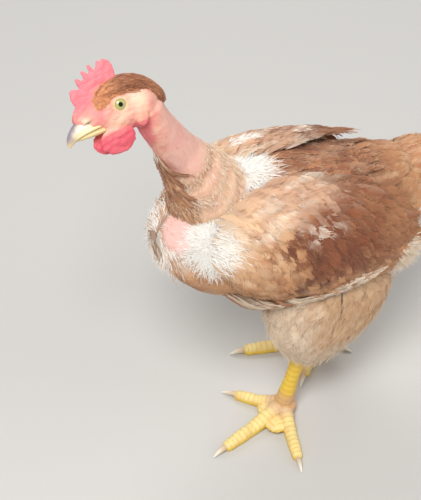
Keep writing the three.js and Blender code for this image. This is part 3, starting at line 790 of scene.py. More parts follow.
def scattered(form, gap, t_range, a_range, keep=None, jitter=0.32):
    """Roots on a form, in staggered rows about gap apart. Angles in degrees."""
    t_list, a_list = [], []
    t = t_range[0]
    row = 0
    while t < t_range[1]:
        along, round_ = form.steps(np.array([t]), np.radians([sum(a_range) / 2]))
        angles = np.radians(np.linspace(a_range[0], a_range[1], 240))
        ring_ = form.point(np.full(240, t), angles)
        run = np.concatenate([[0], np.cumsum(np.linalg.norm(np.diff(ring_, axis=0), axis=1))])
        stops = np.arange(gap * (0.5 if row % 2 else 0.0), run[-1], gap)
        at = np.interp(stops, run, angles)
        t_list.append(np.full(len(at), t))
        a_list.append(at)
        t += gap * 0.86 / np.linalg.norm(along[0])
        row += 1
    t = np.concatenate(t_list)
    a = np.concatenate(a_list)
    along, round_ = form.steps(t, a)
    t = t + jitter * gap * RNG.uniform(-1, 1, len(t)) / np.linalg.norm(along, axis=-1)
    a = a + jitter * gap * RNG.uniform(-1, 1, len(a)) / np.maximum(np.linalg.norm(round_, axis=-1), 6)
    t = np.clip(t, t_range[0] * 0.5, 0.985)
    if keep is not None:
        chosen = keep(t, a, form.point(t, a))
        t, a = t[chosen], a[chosen]
    return t, a


CROP_AT = np.array([-120.0, -19.0, 238.0])
CROP_SHAPE = np.array([1.0, 1.25, 0.85])
CROP_CLEAR = 11
BREAST_DOWN_AT = np.array([-104.0, -42.0, 236.0])
BACK_DOWN_AT = np.array([-60.0, -4.0, 266.0])


def from_crop(p):
    """How far points lie from the middle of the bare crop, which is an oval."""
    return np.linalg.norm((p - CROP_AT) * CROP_SHAPE, axis=-1)


def near(p, spot, size):
    """1 at a spot, falling to 0 by size away."""
    return fade(np.linalg.norm(p - spot, axis=-1), size * 0.5, size)


def body_colour(q, s, x, r):
    """The body's feathers: buff breast, brown saddle that pales to the rump, white down in places."""
    fore, height = q[..., 0], q[..., 2]
    base = mixed(BUFF, TAN, np.clip(0.35 + 0.3 * ripple(q, 26, 1) + 0.3 * (r - 0.5), 0, 1))
    saddle = ease(fore + 9 * ripple(q, 24, 2), -44, -24) * ease(height, 212, 236)
    saddle = saddle * (1 - 0.75 * ease(fore + 26 * (r - 0.5), 44, 100)) * (0.6 + 0.4 * r)
    base = mixed(base, mixed(RUST, UMBER, 0.5 * r), saddle)
    streak = ease(ripple(q * np.array([0.3, 1, 1]), 8, 3) + 0.6 * (r - 0.5), 0.25, 0.75)
    base = mixed(base, CREAM, 0.4 * streak * (1 - 0.6 * ease(height, 225, 245) * ease(fore, -40, -20)))
    # Painted shadow: the feathers low on the front of the body are darkened towards brown, for the shade under
    # the breast
    under = fade(height, 168, 196) * fade(fore, -70, -40)
    base = mixed(base, mixed(UMBER, BUFF, r), 0.55 * under)
    base = mixed(base, CREAM, 0.7 * fade(height, 132, 160))
    front = fade(fore, -128, -116) * ease(height, 196, 212)
    base = mixed(base, mixed(WHITE, TAN, 0.7 * (r > 0.6)), 0.85 * front)
    white = near(q, BACK_DOWN_AT, 30) + 0.85 * near(q, BREAST_DOWN_AT, 30)
    white = white * (0.55 + 0.6 * r) + 0.25 * near(q, BREAST_DOWN_AT, 50) * (r > 0.5)
    base = mixed(base, WHITE, np.clip(white, 0, 1))
    edge = ease(np.abs(x) * 0.8 + ease(s, 0.75, 1.0) * 0.9, 0.55, 1.2)
    base = mixed(base, mixed(base, CREAM, 0.55), 0.6 * edge)
    return mixed(base * 0.8, base, ease(s, 0.3, 0.75))


# The webs between the toes: each one's turn from the foot's heading, and its reach
WEBS = ((31, 22), (-30, 29))


def leg_meshes():
    """The shanks, joints, toes and webs of both feet, as bmeshes in the bird's frame."""
    legs = []
    for name, foot in FEET.items():
        legs.append(shank_form(name).mesh(28, 40))
        legs.append(ball((*foot["at"], 8), (12, 11, 8.5)))
        for toe in TOES:
            legs.append(toe_parts(name, toe)[0].mesh(20, 30))
        for turn, reach in WEBS:
            middle = math.radians(foot["heading"] + foot["side"] * turn)
            sheet = ball((0, 0, 0), (reach * 0.6, reach * 0.42, 2.4))
            turned = Matrix.Rotation(middle, 3, "Z")
            bmesh.ops.rotate(sheet, cent=(0, 0, 0), matrix=turned, verts=sheet.verts)
            spot = (foot["at"][0] + math.cos(middle) * reach * 0.42,
                    foot["at"][1] + math.sin(middle) * reach * 0.42, 5.2)
            bmesh.ops.translate(sheet, vec=spot, verts=sheet.verts)
            legs.append(sheet)
    return legs


class PULLET_OT_skin(bpy.types.Operator):
    """Make the skin: head, comb, wattles, bare neck, body under the coat, and legs"""

    bl_idname = "pullet.skin"
    bl_label = "Skin"

    def execute(self, context):
        depth = settings().coat_depth * 1000
        face = [head_mesh(SKULL.mesh(64, 40)), NECK.mesh(64, 60)]
        stretch = (EYELID_STRETCH[0], 1, EYELID_STRETCH[1])
        face += [head_mesh(ring((0, side * 13.1, 0), 5.1, 1.5, stretch)) for side in (-1, 1)]
        up_ = HEAD_TURN[2] * 0.9
        face.append(head_mesh(comb_blade()))
        face += [node_copy(f"wattle_{name}", up_) for name in FEET]
        face += [node_copy(f"earlobe_{name}", HEAD_Y * 0.9 * -FEET[name]["side"]) for name in FEET]
        fine = cast(joined(face), 0.95, 4)
        body = [TORSO.mesh(48, 40, -depth)]
        for name in FEET:
            body.append(thigh_form(name).mesh(32, 24, -5))
            body.append(wing_pad(FEET[name]["side"]))
        body.append(TAIL_ROOT.mesh(24, 16, -3))
        coarse = cast(joined(body), 3.0, 2)
        scaly = cast(joined(leg_meshes()), 1.0, 2)
        counts = [len(fine.verts), len(coarse.verts), len(scaly.verts)]
        whole = joined([fine, coarse, scaly])
        mesh = bpy.data.meshes.new("skin")
        whole.to_mesh(mesh)
        whole.free()
        mesh.shade_smooth()
        p = spots_of(mesh)
        normal = np.zeros(len(p) * 3, np.float32)
        mesh.vertex_normals.foreach_get("vector", normal)
        normal = normal.reshape(-1, 3).astype(float)
        group = np.repeat([0, 1, 2], counts)
        push, colours = skin_surface(p, normal, group)
        p = p + push
        p[group == 2, 2] = np.maximum(p[group == 2, 2], 0.0)
        put_spots(mesh, placed(p))
        tinted(mesh, colours)
        finish = material("bare_skin", settings().skin_roughness, subsurface=0.12, patch=0.07,
                          bumps=((800, 0.4, 0.001), (2400, 0.3, 0.0005)))
        nodes = ["torso", "neck", "head", "comb"] + [
            f"{part}_{name}" for part in ("wattle", "earlobe", "thigh", "foot") for name in FEET]
        finished("skin", mesh, finish, nodes)
        return {"FINISHED"}


def skin_surface(p, normal, group):
    """How far each point of the skin is pushed, and its colour."""
    h = to_head(p)
    x, y, z = h.T
    is_face, is_body, is_leg = group == 0, group == 1, group == 2
    t = nearest_share(NECK, p)
    on_neck = is_face * ease(x, 20, 34)
    relief, bare = neck_surface(p, t)
    push = np.zeros_like(p)
    push += normal * (on_neck * relief)[:, None]
    # The eye's opening, and creases round it
    off = np.hypot(x / EYELID_STRETCH[0], z / EYELID_STRETCH[1])
    for side in (-1, 1):
        near_eye = is_face * (y * side > 8)
        push -= (HEAD_TURN[1] * side) * (near_eye * fade(off, 3.3, 4.4) * 3.2)[:, None]
        crease = near_eye * 0.35 * np.cos(off * 3.4) * ease(off, 6.2, 7) * fade(off, 8, 13)
        push += normal * crease[:, None]
    # The hollow of the brow, the face's fine wrinkles, the ear and the nostril's slit
    brow = blot(h, -27, 1, 5, 5) * (np.abs(y) > 2.6)
    push -= normal * (is_face * 1.5 * brow)[:, None]
    face = is_face * fade(x, 18, 34) * (1 - 0.7 * ease(x, 10, 18))
    wrinkles = np.abs(ripple(p, 6, 15))
    relief = 0.34 * ripple(p, 4.5, 8) - 0.4 * (1 - np.clip(wrinkles * 4, 0, 1)) + 0.16 * ripple(p, 1.9, 9)
    push += normal * (face * relief)[:, None]
    ear = is_face * blot(h, 15, -8.5, 3, 3.4) * (np.abs(y) > 6)
    push -= normal * (0.9 * ear)[:, None]
    slit = is_face * np.exp(-(((x + 25.5) / 2.3) ** 2 + ((z + 5.6 - 0.25 * (x + 25.5)) / 0.8) ** 2))
    slit = slit * (np.abs(y) > 2.2)
    push -= normal * (0.9 * slit)[:, None]
    # The head's colours, from its peach skin to what lies over it
    lore = blot(h, -26, -4, 4.6, 4.0) * (np.abs(y) > 2.2)
    flecks = np.clip(ripple(h * np.array([0.6, 1, 1.6]), 2.2, 33) + 0.2, 0, 1)
    tufted = is_face * np.where(x < 4, bristly(h), fringed(h)) * (z > 0) * (x > -17)
    cheek = blot(h, 14, -12, 6, 3.5) * (np.abs(y) > 6)
    rim = np.exp(-(((off - 4.6) / 1.1) ** 2)) * (np.abs(y) > 9)
    uneven = 0.5 + 0.5 * ripple(p, 7, 10)
    base = mixed(srgb(0.96, 0.72, 0.62), PINK, 0.4 * uneven)
    # Painted shade: the skin is darker and redder along the grooves of the fine wrinkles
    base = mixed(srgb(0.88, 0.50, 0.47), base, 0.45 + 0.55 * np.clip(wrinkles * 2.5, 0, 1))
    colours = layered(
        base,
        (IVORY, 0.45 * np.clip(ripple(p * np.array([1, 1, 1.8]), 8, 16), 0, 1)),
        (RED, 0.75 * fade(z, -19, -15.5) * fade(x, 16, 22)),
        (PINK, 0.8 * fade(x, -15, -8) * ease(z, -13, -8)),
        (mixed(srgb(0.93, 0.86, 0.72), srgb(0.66, 0.44, 0.34), 0.5 * flecks), 0.9 * lore),
        (srgb(0.34, 0.19, 0.17), 0.9 * slit),
        (IVORY, 0.85 * blot(h, 14.5, -4.5, 6.5, 7.5)),
        (crown_colour(p, 0.5, 0.0, 0.5), 0.75 * tufted),
        (IVORY, 0.5 * blot(h, -2, -10, 7, 5)),
        (RED, 0.45 * blot(h, 22.5, -12, 3, 8)),
        (srgb(0.86, 0.55, 0.44), 0.55 * cheek),
        (srgb(0.90, 0.82, 0.60), 0.65 * rim),
        (bare, on_neck),
    )
    # Wattles and comb
    wattle = is_face * fade(z, -21.5, -19) * fade(x, 6, 12) * (np.abs(y) > 2.5)
    comb = is_face * ease(z, 12, 17) * (np.abs(y) < 4) * (x < 8)
    comb = np.maximum(comb, is_face * (np.abs(y) < 3.2) * (x < -14) * ease(z, 2, 6))
    colours = layered(colours, (mixed(RED, PINK, 0.35 * uneven), wattle),
                      (mixed(srgb(0.93, 0.50, 0.54), PINK, 0.3 * uneven), comb))
    push += normal * (wattle * 0.5 * np.sin(z * 1.1 + 2 * ripple(p, 9, 13)) * 0.6)[:, None]
    # The body under the coat, which comes up to it where it is bare
    crop, back = near(p, CROP_AT, 27), near(p, BACK_DOWN_AT, 26)
    push += normal * (is_body * (5.6 * crop + 3.5 * back))[:, None]
    dull = mixed(srgb(0.74, 0.58, 0.45), srgb(0.95, 0.76, 0.72), np.maximum(crop, back))
    colours = np.where(is_body[:, None], dull, colours)
    leg_push, leg_colours = leg_surface(p[is_leg], normal[is_leg])
    push[is_leg] += leg_push
    colours[is_leg] = leg_colours
    return push, colours


def blot(h, x, z, long, high):
    """1 at a place on the side of the head, and falling off round it."""
    return np.exp(-(((h[:, 0] - x) / long) ** 2 + ((h[:, 2] - z) / high) ** 2))


# The collar's folds: the share along the neck where each lies, its rise and its width as a share
COLLAR = ((0.61, 2.6, 0.045), (0.73, 2.6, 0.035), (0.85, 2.6, 0.035), (0.78, 0.7, 0.014))


def neck_surface(p, t):
    """The bare neck's rise, with loose folds round its foot and fine wrinkles above them, and its colour."""
    angle = np.arctan2(p[:, 2] - through(NECK.line, t)[:, 2], p[:, 1])
    slant = t + 0.03 * np.sin(angle) + 0.016 * ripple(p, 17, 4)
    folds = sum(rise * np.exp(-(((slant - at) / width) ** 2)) for at, rise, width in COLLAR)
    folds = folds * (0.12 + 0.88 * ease(-p[:, 1] - 0.5 * (p[:, 0] + 95), -8, 16))
    folds = folds * (0.75 + 0.4 * ripple(p, 15, 17))
    crepe = np.sin(slant * 120 + 5 * ripple(p, 15, 5)) * np.clip(ripple(p, 11, 14) + 0.3, 0, 1)
    lumps = 0.5 * ripple(p, 9, 6) * ease(t, 0.3, 0.7) + 0.2 * ripple(p, 3.2, 7)
    colours = layered(
        mixed(srgb(0.91, 0.71, 0.65), srgb(0.86, 0.72, 0.60), ease(t + 0.05 * ripple(p, 18, 11), 0.5, 0.75)),
        (PINK, 0.18 * np.clip(ripple(p, 14, 12), 0, 1)),
        # Painted shade: darker red-brown in the low parts of the fine wrinkles
        (srgb(0.74, 0.48, 0.42), 0.22 * np.clip(-crepe, 0, 1) * ease(t, 0.1, 0.5)),
        # A sand-brown band just below the top fold, on the left side: partly the skin's own colour, partly
        # painted shade under the hanging fold
        (srgb(0.66, 0.47, 0.33), 0.7 * np.exp(-(((slant - 0.665) / 0.022) ** 2)) * (p[:, 1] < 0)),
    )
    return folds + 0.16 * crepe * ease(t, 0.05, 0.3) + lumps, colours


def nearest_share(form, p, samples=160):
    """How far along a form's line each point lies, from 0 to 1."""
    shares = np.linspace(0, 1, samples)
    line = through(form.line, shares)
    best = np.zeros(len(p))
    for start in range(0, len(p), 20000):
        part = p[start:start + 20000]
        gap = ((part[:, None, :] - line[None]) ** 2).sum(-1)
        i = gap.argmin(1)
        j = np.clip(i, 1, samples - 2)
        tangent = line[j + 1] - line[j - 1]
        slide = ((part - line[j]) * tangent).sum(-1) / (tangent**2).sum(-1)
        best[start:start + 20000] = shares[j] + slide * (shares[j + 1] - shares[j - 1])
    return np.clip(best, 0, 1)


def leg_surface(p, normal):
    """How far the legs' skin is pushed, and its colour: plates across the front, fine scales elsewhere."""
    yellow, pale, orange = srgb(0.93, 0.79, 0.30), srgb(0.95, 0.88, 0.64), srgb(0.86, 0.60, 0.36)
    colours = np.broadcast_to(pale, p.shape).copy()
    rise = np.zeros(len(p))
    best = np.full(len(p), 1e9)
    for name, foot in FEET.items():
        forms = [(shank_form(name), 13, 0.08, 0.85, (-1.0, foot["side"] * 0.5, 0.25), True)]
        for toe in TOES:
            forms.append((toe_parts(name, toe)[0], toe[4] * 1.6, 0.16, 0.97, (0, 0, 1.0), False))
        for form, count, start, end, front, is_shank in forms:
            t = nearest_share(form, p, 60)
            gap = np.linalg.norm(p - through(form.line, t), axis=-1) / through(form.wide, t)
            mine = gap < best
            best = np.where(mine, gap, best)
            share = (t - start) / (end - start)
            facing = ease(normal @ unit(np.array(front)), 0.1, 0.6)
            inside = (share > 0) & (share < 1)
            saw = (share * count) % 1
            plate = np.where(inside, facing * (0.3 * np.sin(np.minimum(saw * 1.15, 1) * math.pi) ** 0.5), 0)
            knuckle = 0.35 * np.cos(share * 9.4) ** 2
            net = 0.16 * ripple(p, 1.6, 20) * (1 - facing)
            rise = np.where(mine, plate + net + (0.4 if is_shank else 1.55 + knuckle), rise)
            shade = (orange, 0.35 * (1 - facing)) if is_shank else (pale, 0.75 * facing)
            body = layered(yellow, shade, (orange, 0.3 * np.clip(ripple(p, 8, 21), 0, 1)))
            seam = facing * inside * fade(np.minimum(saw, 1 - saw), 0.0, 0.16)
            body = mixed(body, body * srgb(0.94, 0.86, 0.72), seam)
            colours = np.where(mine[:, None], body, colours)
        joint = np.array([*foot["at"], 13.0])
        colours = mixed(colours, srgb(0.80, 0.62, 0.56), 0.6 * near(p, joint, 21))
    return normal * rise[:, None], colours


# The wing's oval on the carrier: its middle's share along and turn in degrees, its half sizes, and its lean
WING_T, WING_TURN, WING_LENGTH, WING_SPREAD, WING_LEAN = 0.41, 162.0, 0.31, 50.0, 13.0
UNDER_WING = 0.8
TAIL_ROOT = Form([(86, 0, 216), (106, 0, 219), (128, 0, 217), (150, 0, 212)],
                 (25, 27, 23, 12), (18, 18, 12, 5), (14, 16, 12, 6), (0.15, 0.2))


def wing_pad(side, thick=6.5, size=0.93):
    """The folded arm under the wing's feathers, as a bmesh."""
    bm = bmesh.new()
    bmesh.ops.create_uvsphere(bm, u_segments=28, v_segments=20, radius=1)
    co = np.array([v.co for v in bm.verts])
    x, y, z = co[:, 2] * size, co[:, 1] * size, co[:, 0]
    turn = np.radians(WING_TURN + WING_SPREAD * y + WING_LEAN * x)
    lift = np.where(z > 0, thick * z, 8 * z)
    spots = CARRIER.point(WING_T + WING_LENGTH * x, mirrored(turn, side), lift)
    for v, p in zip(bm.verts, spots):
        v.co = p
    bmesh.ops.recalc_face_normals(bm, faces=bm.faces)
    return bm


def under_wing(p):
    """True where a point of the torso is well below a wing."""
    share = (p[:, 0] + 125) / 265
    degrees = np.degrees(np.arctan2(p[:, 2] - through(CARRIER.line, share)[:, 2], -np.abs(p[:, 1]))) % 360
    x = (share - WING_T) / WING_LENGTH
    y = (degrees - WING_TURN - WING_LEAN * x) / WING_SPREAD
    return x**2 + y**2 < UNDER_WING**2


def mirrored(a, side):
    """A turn given for the left side, moved to the side asked for."""
    return a if side < 0 else math.pi - a


def side_down(a):
    """The sign of the turn that leads down each side of the body."""
    return np.where(np.cos(a) < 0, 1.0, -1.0)


class PULLET_OT_body_feathers(bpy.types.Operator):
    """Lay the feathers of the breast, back, belly and rump"""

    bl_idname = "pullet.body_feathers"
    bl_label = "Body feathers"

    def execute(self, context):
        gap = settings().feather_gap * 1000
        depth = settings().coat_depth * 1000
        finish = material("body_feathers", settings().feather_roughness, barbs=0.1, sheen=0.1)

        def keep(t, a, p):
            share = nearest_share(NECK, p)
            off = np.linalg.norm(p - through(NECK.line, share), axis=-1)
            crop = from_crop(p) < CROP_CLEAR
            return ~under_wing(p) & ~crop & (off > through(NECK.wide, share) - 3)

        t, a = scattered(TORSO, gap, (0.008, 0.97), (-90, 270), keep)
        p = TORSO.point(t, a)
        left = np.cos(a) < 0
        parts = {
            "feathers_breast_left": (p[:, 0] < -48) & left,
            "feathers_breast_right": (p[:, 0] < -48) & ~left,
            "feathers_back": (p[:, 0] >= -48) & (p[:, 2] > 205),
            "feathers_belly": (p[:, 0] >= -48) & (p[:, 2] <= 205),
        }
        for name, chosen in parts.items():
            shares, turns = t[chosen], a[chosen]
            x, _, z = p[chosen].T
            n = len(shares)
            high = ease(z, 226, 246)
            length = RNG.uniform(25, 33, n) + 5 * ease(x, 0, 60) + 4 * fade(z, 180, 215) + 5 * high
            wide = RNG.uniform(5.4, 7.0, n) + 1.6 * fade(z, 190, 225) - 3.0 * high
            wide = wide + 1.6 * fade(z, 200, 232) * fade(x, -60, -40)
            fall = 0.5 * fade(x, -70, -30) * ease(z, 190, 225) * fade(z, 248, 262)
            fall = fall + 0.25 * ease(x, -60, 20) * fade(z, 225, 250)
            length = length * (0.5 + 0.5 * ease(shares, 0.01, 0.1))
            way = fall * side_down(turns)
            along, round_ = (np.linalg.norm(v, axis=-1) for v in TORSO.steps(shares, turns))
            for share in (0.35, 0.65, 1.0):
                run = share * length
                spot = TORSO.point(shares + run * np.cos(way) / along, turns + run * np.sin(way) / round_)
                over = from_crop(spot) < CROP_CLEAR
                length = np.where(over, np.minimum(length, 8), length)
            plumage = Plumage()
            laid(plumage, TORSO, shares, turns, length, way, wide, body_colour, depth=depth, top=-0.6,
                 notch=0.12, barbs=16, blunt=0.35, shade=0.055)
            finished(name, plumage.mesh(name), finish)
        return {"FINISHED"}


class PULLET_OT_down(bpy.types.Operator):
    """Lay the white down at the crop, between the shoulders, at the vent and under the tail"""

    bl_idname = "pullet.down"
    bl_label = "Down"

    def execute(self, context):
        finish = material("down", 0.9, sheen=0.2)
        down, fuzz = Plumage(), Plumage()
        self.lay_patches(down)
        for side in (-1, 1):
            self.lay_side(down, side)
        finished("white_down", down.mesh("white_down"), finish)
        self.lay_fuzz(fuzz)
        finished("neck_fuzz", fuzz.mesh("neck_fuzz"), finish)
        return {"FINISHED"}

    @staticmethod
    def lay_patches(down):
        """White down round the bare crop, between the shoulders and before the wing."""
        for spot, size, count, stretch, clear in ((BREAST_DOWN_AT, 23, 3400, (1, 0.8, 0.9), 10),
                                                  (BACK_DOWN_AT, 23, 2700, (0.8, 1.0, 1), 0)):
            t, a = clouded(TORSO, count, spot, size, stretch)
            p = TORSO.point(t, a)
            off = from_crop(p) > clear + RNG.uniform(-2, 3, len(t))
            t, a, p = t[off], a[off], p[off]
            along, round_ = TORSO.steps(t, a)
            away = (p - spot) + RNG.normal(0, 5, p.shape)
            way = np.arctan2(np.sum(away * unit(round_), axis=-1), np.sum(away * unit(along), axis=-1))
            downy(down, TORSO, t, a, RNG.uniform(5, 10, len(t)), way, 0.1, DOWN_WHITE, drop=0.03, wide=0.24,
                  lift=1.2 * RNG.uniform(-0.5, 1, len(t)))
        t, a = clouded(CARRIER, 800, BREAST_DOWN_AT + np.array([4, -6, -2]), 17)
        x, y = wing_place(t, a)
        chosen = x**2 + y**2 < 1.1
        t, a = t[chosen], a[chosen]
        downy(down, CARRIER, t, a, RNG.uniform(6, 12, len(t)), 0.5 * side_down(a), 0.06, DOWN_WHITE,
              drop=0.03, wide=0.24, lift=wing_dome(t, a) + RNG.uniform(-0.2, 1.2, len(t)))
        # Pale fringe down the front of the breast
        t, a = clouded(TORSO, 1500, (-131, 10, 220), 34, (1, 0.8, 0.9))
        off = from_crop(TORSO.point(t, a)) > RNG.uniform(9, 14, len(t))
        t, a = t[off], a[off]
        pale = np.where(RNG.uniform(0, 1, (len(t), 1)) < 0.7, DOWN_WHITE, BUFF)
        downy(down, TORSO, t, a, RNG.uniform(6, 13, len(t)), 0.9 * side_down(a), 0.06, pale,
              drop=0.25, wide=0.28)
        # Blue-grey pins of growing feathers on the bare back
        t, a = clouded(TORSO, 26, BACK_DOWN_AT + np.array([-8, -7, 0]), 13)
        downy(down, TORSO, t, a, RNG.uniform(5, 8, len(t)), 0.0, 0.12, srgb(0.52, 0.50, 0.62),
              wide=0.8, drop=0)

    @staticmethod
    def lay_side(down, side):
        """Down on one side: at the shoulder's top on the far side, at the vent and under the tail."""
        soft = mixed(WHITE, CREAM, 0.5)
        top = {"lift": 6, "drop": 0.1, "wide": 0.26}
        # Form, shares along, turns, count, lengths, way down, lean, colour, and the rest of what downy takes
        groups = (
            (CARRIER, 0.17, 0.2, 112, 124, 110, (5, 9), -0.6, 0.35, DOWN_WHITE, top),
            (CARRIER, 0.29, 0.37, 112, 124, 160, (5, 9), -0.6, 0.35, DOWN_WHITE, top),
            (TORSO, 0.62, 0.8, 180, 222, 900, (14, 22), 0.35, 0.3, soft, {"drop": 0.15}),
            (CARRIER, 0.66, 0.73, 172, 204, 700, (10, 18), 0.55, 0.3, soft, {"lift": 2.0, "drop": 0.1}),
            (TORSO, 0.8, 0.97, 172, 262, 900, (14, 24), 0.3, 0.25, DOWN_WHITE, {"drop": 0.3}),
            (TAIL_ROOT, 0.1, 0.8, 190, 262, 500, (14, 26), 0.2, 0.15, DOWN_WHITE, {"drop": 0.3}),
        )
        # The first two groups lie on the far side alone
        if side < 0:
            groups = groups[2:]
        for form, low, high, first, last, n, sizes, fall, lean, colour, look in groups:
            t, a = thrown(n, low, high, first, last)
            a = mirrored(a, side)
            downy(down, form, t, a, RNG.uniform(*sizes, n), fall * side_down(a), lean, colour, **look)

    @staticmethod
    def lay_fuzz(fuzz):
        """Short fuzz over the foot of the neck, streaks along its two lowest folds, and dark hairs up it."""
        n = 5200
        t, a = 1 - 0.42 * RNG.uniform(0, 1, n) ** 1.3, np.radians(RNG.uniform(0, 360, n))
        patches = np.clip(0.15 + 0.6 * ripple(NECK.point(t, a), 12, 70), 0, 1)
        tints = layered(mixed(srgb(0.93, 0.82, 0.70), srgb(0.83, 0.65, 0.50), patches),
                        (WHITE, 1.0 * (RNG.uniform(0, 1, n) < 0.3)))
        length = RNG.uniform(4, 9, n) * ease(t, 0.5, 0.75)
        downy(fuzz, NECK, t, a, length, 0.3 * side_down(a), 0.08, tints, wide=0.3, drop=0.1, rings=1, lift=1.5)
        for low, high, first, last, n in ((0.74, 0.79, 190, 262, 600), (0.87, 0.93, 172, 275, 1500)):
            t, a = thrown(n, low, high, first, last)
            streaks = layered(
                mixed(srgb(0.60, 0.39, 0.26), srgb(0.88, 0.73, 0.58), RNG.uniform(0, 1, n)),
                (srgb(0.93, 0.80, 0.68), 0.7 * fade(np.degrees(a), 200, 235)),
                (WHITE, 0.9 * (RNG.uniform(0, 1, n) < 0.22)),
            )
            downy(fuzz, NECK, t, a, RNG.uniform(6, 11, n), -0.9 * side_down(a), 0.02, streaks,
                  wide=0.34, drop=0.1, lift=1.6)
        t, a = thrown(130, 0.08, 0.7, 0, 360)
        downy(fuzz, NECK, t, a, RNG.uniform(3, 6, 130), 0.0, 0.2, srgb(0.58, 0.42, 0.34),
              wide=0.11, drop=0.1, rings=1)


def thigh_colour(q, s, x, r):
    """Buff behind, white before and below."""
    base = mixed(srgb(0.84, 0.70, 0.55), TAN, 0.3 * r)
    base = mixed(base, CREAM, 0.35 * ease(ripple(q, 15, 30), -0.2, 0.8))
    fore = q[..., 0] - np.where(q[..., 1] > 0, 55.0, 0.0)
    before = fade(fore + 8 * ripple(q, 18, 31) + 14 * (r - 0.5), -36, -6)
    base = mixed(base, mixed(WHITE, CREAM, 0.55), 0.85 * before)
    base = mixed(base, mixed(WHITE, CREAM, 0.5), 0.8 * fade(q[..., 2], 84, 106))
    return mixed(mixed(base, WHITE, 0.5), base, ease(s, 0, 0.3))


class PULLET_OT_thigh_feathers(bpy.types.Operator):
    """Lay the soft feathers of the thighs"""

    bl_idname = "pullet.thigh_feathers"
    bl_label = "Thigh feathers"

    def execute(self, context):
        finish = material("thigh_feathers", settings().feather_roughness, barbs=0.06, sheen=0.15)
        for name in FEET:
            form = thigh_form(name)
            t, a = scattered(form, 5.0, (0.05, 0.97), (-180, 180))
            n = len(t)
            plumage = Plumage()
            laid(plumage, form, t, a, RNG.uniform(24, 34, n), -0.3 * side_down(a) * np.sign(np.sin(a) + 1e-9),
                 RNG.uniform(2.9, 4.2, n), thigh_colour, depth=5, top=-1.4, reverse=True, wild=1.1,
                 notch=0.25, barbs=12, reach=9.0, blunt=0.2, thick=0.3, stations=np.linspace(0, 1, 6))
            t, a = RNG.uniform(0.06, 0.9, 2600), RNG.uniform(-math.pi, math.pi, 2600)
            tints = thigh_colour(form.point(t, a), 0.9, 0.0, RNG.uniform(0, 1, 2600))
            downy(plumage, form, t, a, RNG.uniform(9, 17, 2600), 0.0, 0.0, tints, reverse=True, drop=0.05,
                  lift=-0.8, wide=0.3)
            piece = f"feathers_thigh_{name}"
            finished(piece, plumage.mesh(piece), finish)
        return {"FINISHED"}


def wing_colour(q, s, x, r):
    """Coverts: buff at the shoulder, pale along the top, dark red-brown in the middle, tan below."""
    fore = q[..., 0] + 10 * ripple(q, 20, 40) + 34 * (r - 0.5)
    height = q[..., 2] + 6 * ripple(q, 18, 44) + 18 * (r - 0.5)
    base = mixed(BUFF, TAN, np.clip(0.2 + 0.5 * (r - 0.3), 0, 1))
    base = mixed(base, CREAM, fade(fore, -86, -40) * ease(height, 196, 226) * 0.6)
    dark = mixed(RUST, UMBER, np.clip(0.35 + 0.7 * (r - 0.35), 0, 1))
    middle = ease(fore, -60, -30) * ease(height, 178, 200)
    middle = middle * (1 - 0.55 * ease(height, 247, 260) * fade(fore, -5, 30))
    base = mixed(base, dark, middle * (1 - 0.45 * ease(fore, 10, 60)))
    band = ease(height, 238, 252) * fade(fore, 0, 34) * ease(fore, -86, -66)
    streak = ease(ripple(q * np.array([0.35, 1, 1]), 8, 42) + 0.9 * (r - 0.5), 0.0, 0.6)
    base = mixed(base, srgb(0.84, 0.70, 0.60), 0.55 * band)
    base = mixed(base, WHITE, 0.8 * band * streak * (0.15 + 0.85 * ease(np.abs(x), 0.1, 0.8)))
    base = mixed(base, WHITE, near(q, BREAST_DOWN_AT, 33) * (0.1 + 0.9 * r))
    base = mixed(base, CREAM, 0.35 * streak * (1 - middle))
    edge = ease(np.abs(x) * 0.85 + ease(s, 0.7, 1.0) * 0.8, 0.6, 1.25)
    base = mixed(base, mixed(base, BUFF, 0.7), 0.6 * edge * (0.4 + 0.6 * r))
    return mixed(base * 0.84, base, ease(s, 0.35, 0.8))


def flight_colour(q, s, x, r):
    """Flight feathers: cream to grey-buff outside, darker within."""
    base = mixed(TAN, CREAM, ease(np.abs(x), 0.1, 0.9))
    base = mixed(base, mixed(RUST, UMBER, 0.3), 0.75 * ease(q[..., 2], 188, 206))
    mark = np.exp(-(((q[..., 0] + 8) / 9) ** 2)) * fade(q[..., 2], 178, 190) * (r > 0.4)
    return mixed(base, SLATE, 0.75 * mark)


def tip_colour(q, s, x, r):
    """Primaries' tips: tan to cream with white edges, some marked black near the middle of the wing."""
    base = mixed(TAN, CREAM, np.clip(1.3 * r - 0.1, 0, 1))
    base = mixed(base, WHITE, 0.6 * ease(np.abs(x), 0.4, 0.9) * (r > 0.45))
    mark = np.exp(-(((q[..., 0] + 4) / 13) ** 2)) * ease(x, -0.2, 0.5) * ease(s, 0.3, 0.5) * (r > 0.6)
    return mixed(base, SLATE, 0.85 * mark)


def wing_place(t, a):
    """Where a point of the wing's carrier lies in the wing's oval: along, and round from its middle line."""
    degrees = np.degrees(a)
    degrees = np.where(np.cos(a) > 0, 180 - degrees, degrees) % 360
    x = (t - WING_T) / WING_LENGTH
    return x, (degrees - WING_TURN - WING_LEAN * x) / WING_SPREAD


def wing_dome(t, a):
    """How far the folded wing rises off its carrier, most in the middle of its oval."""
    x, y = wing_place(t, a)
    return 8.0 * np.sqrt(np.clip(1 - (x**2 + y**2) * 0.85, 0.03, 1)) + 1.2


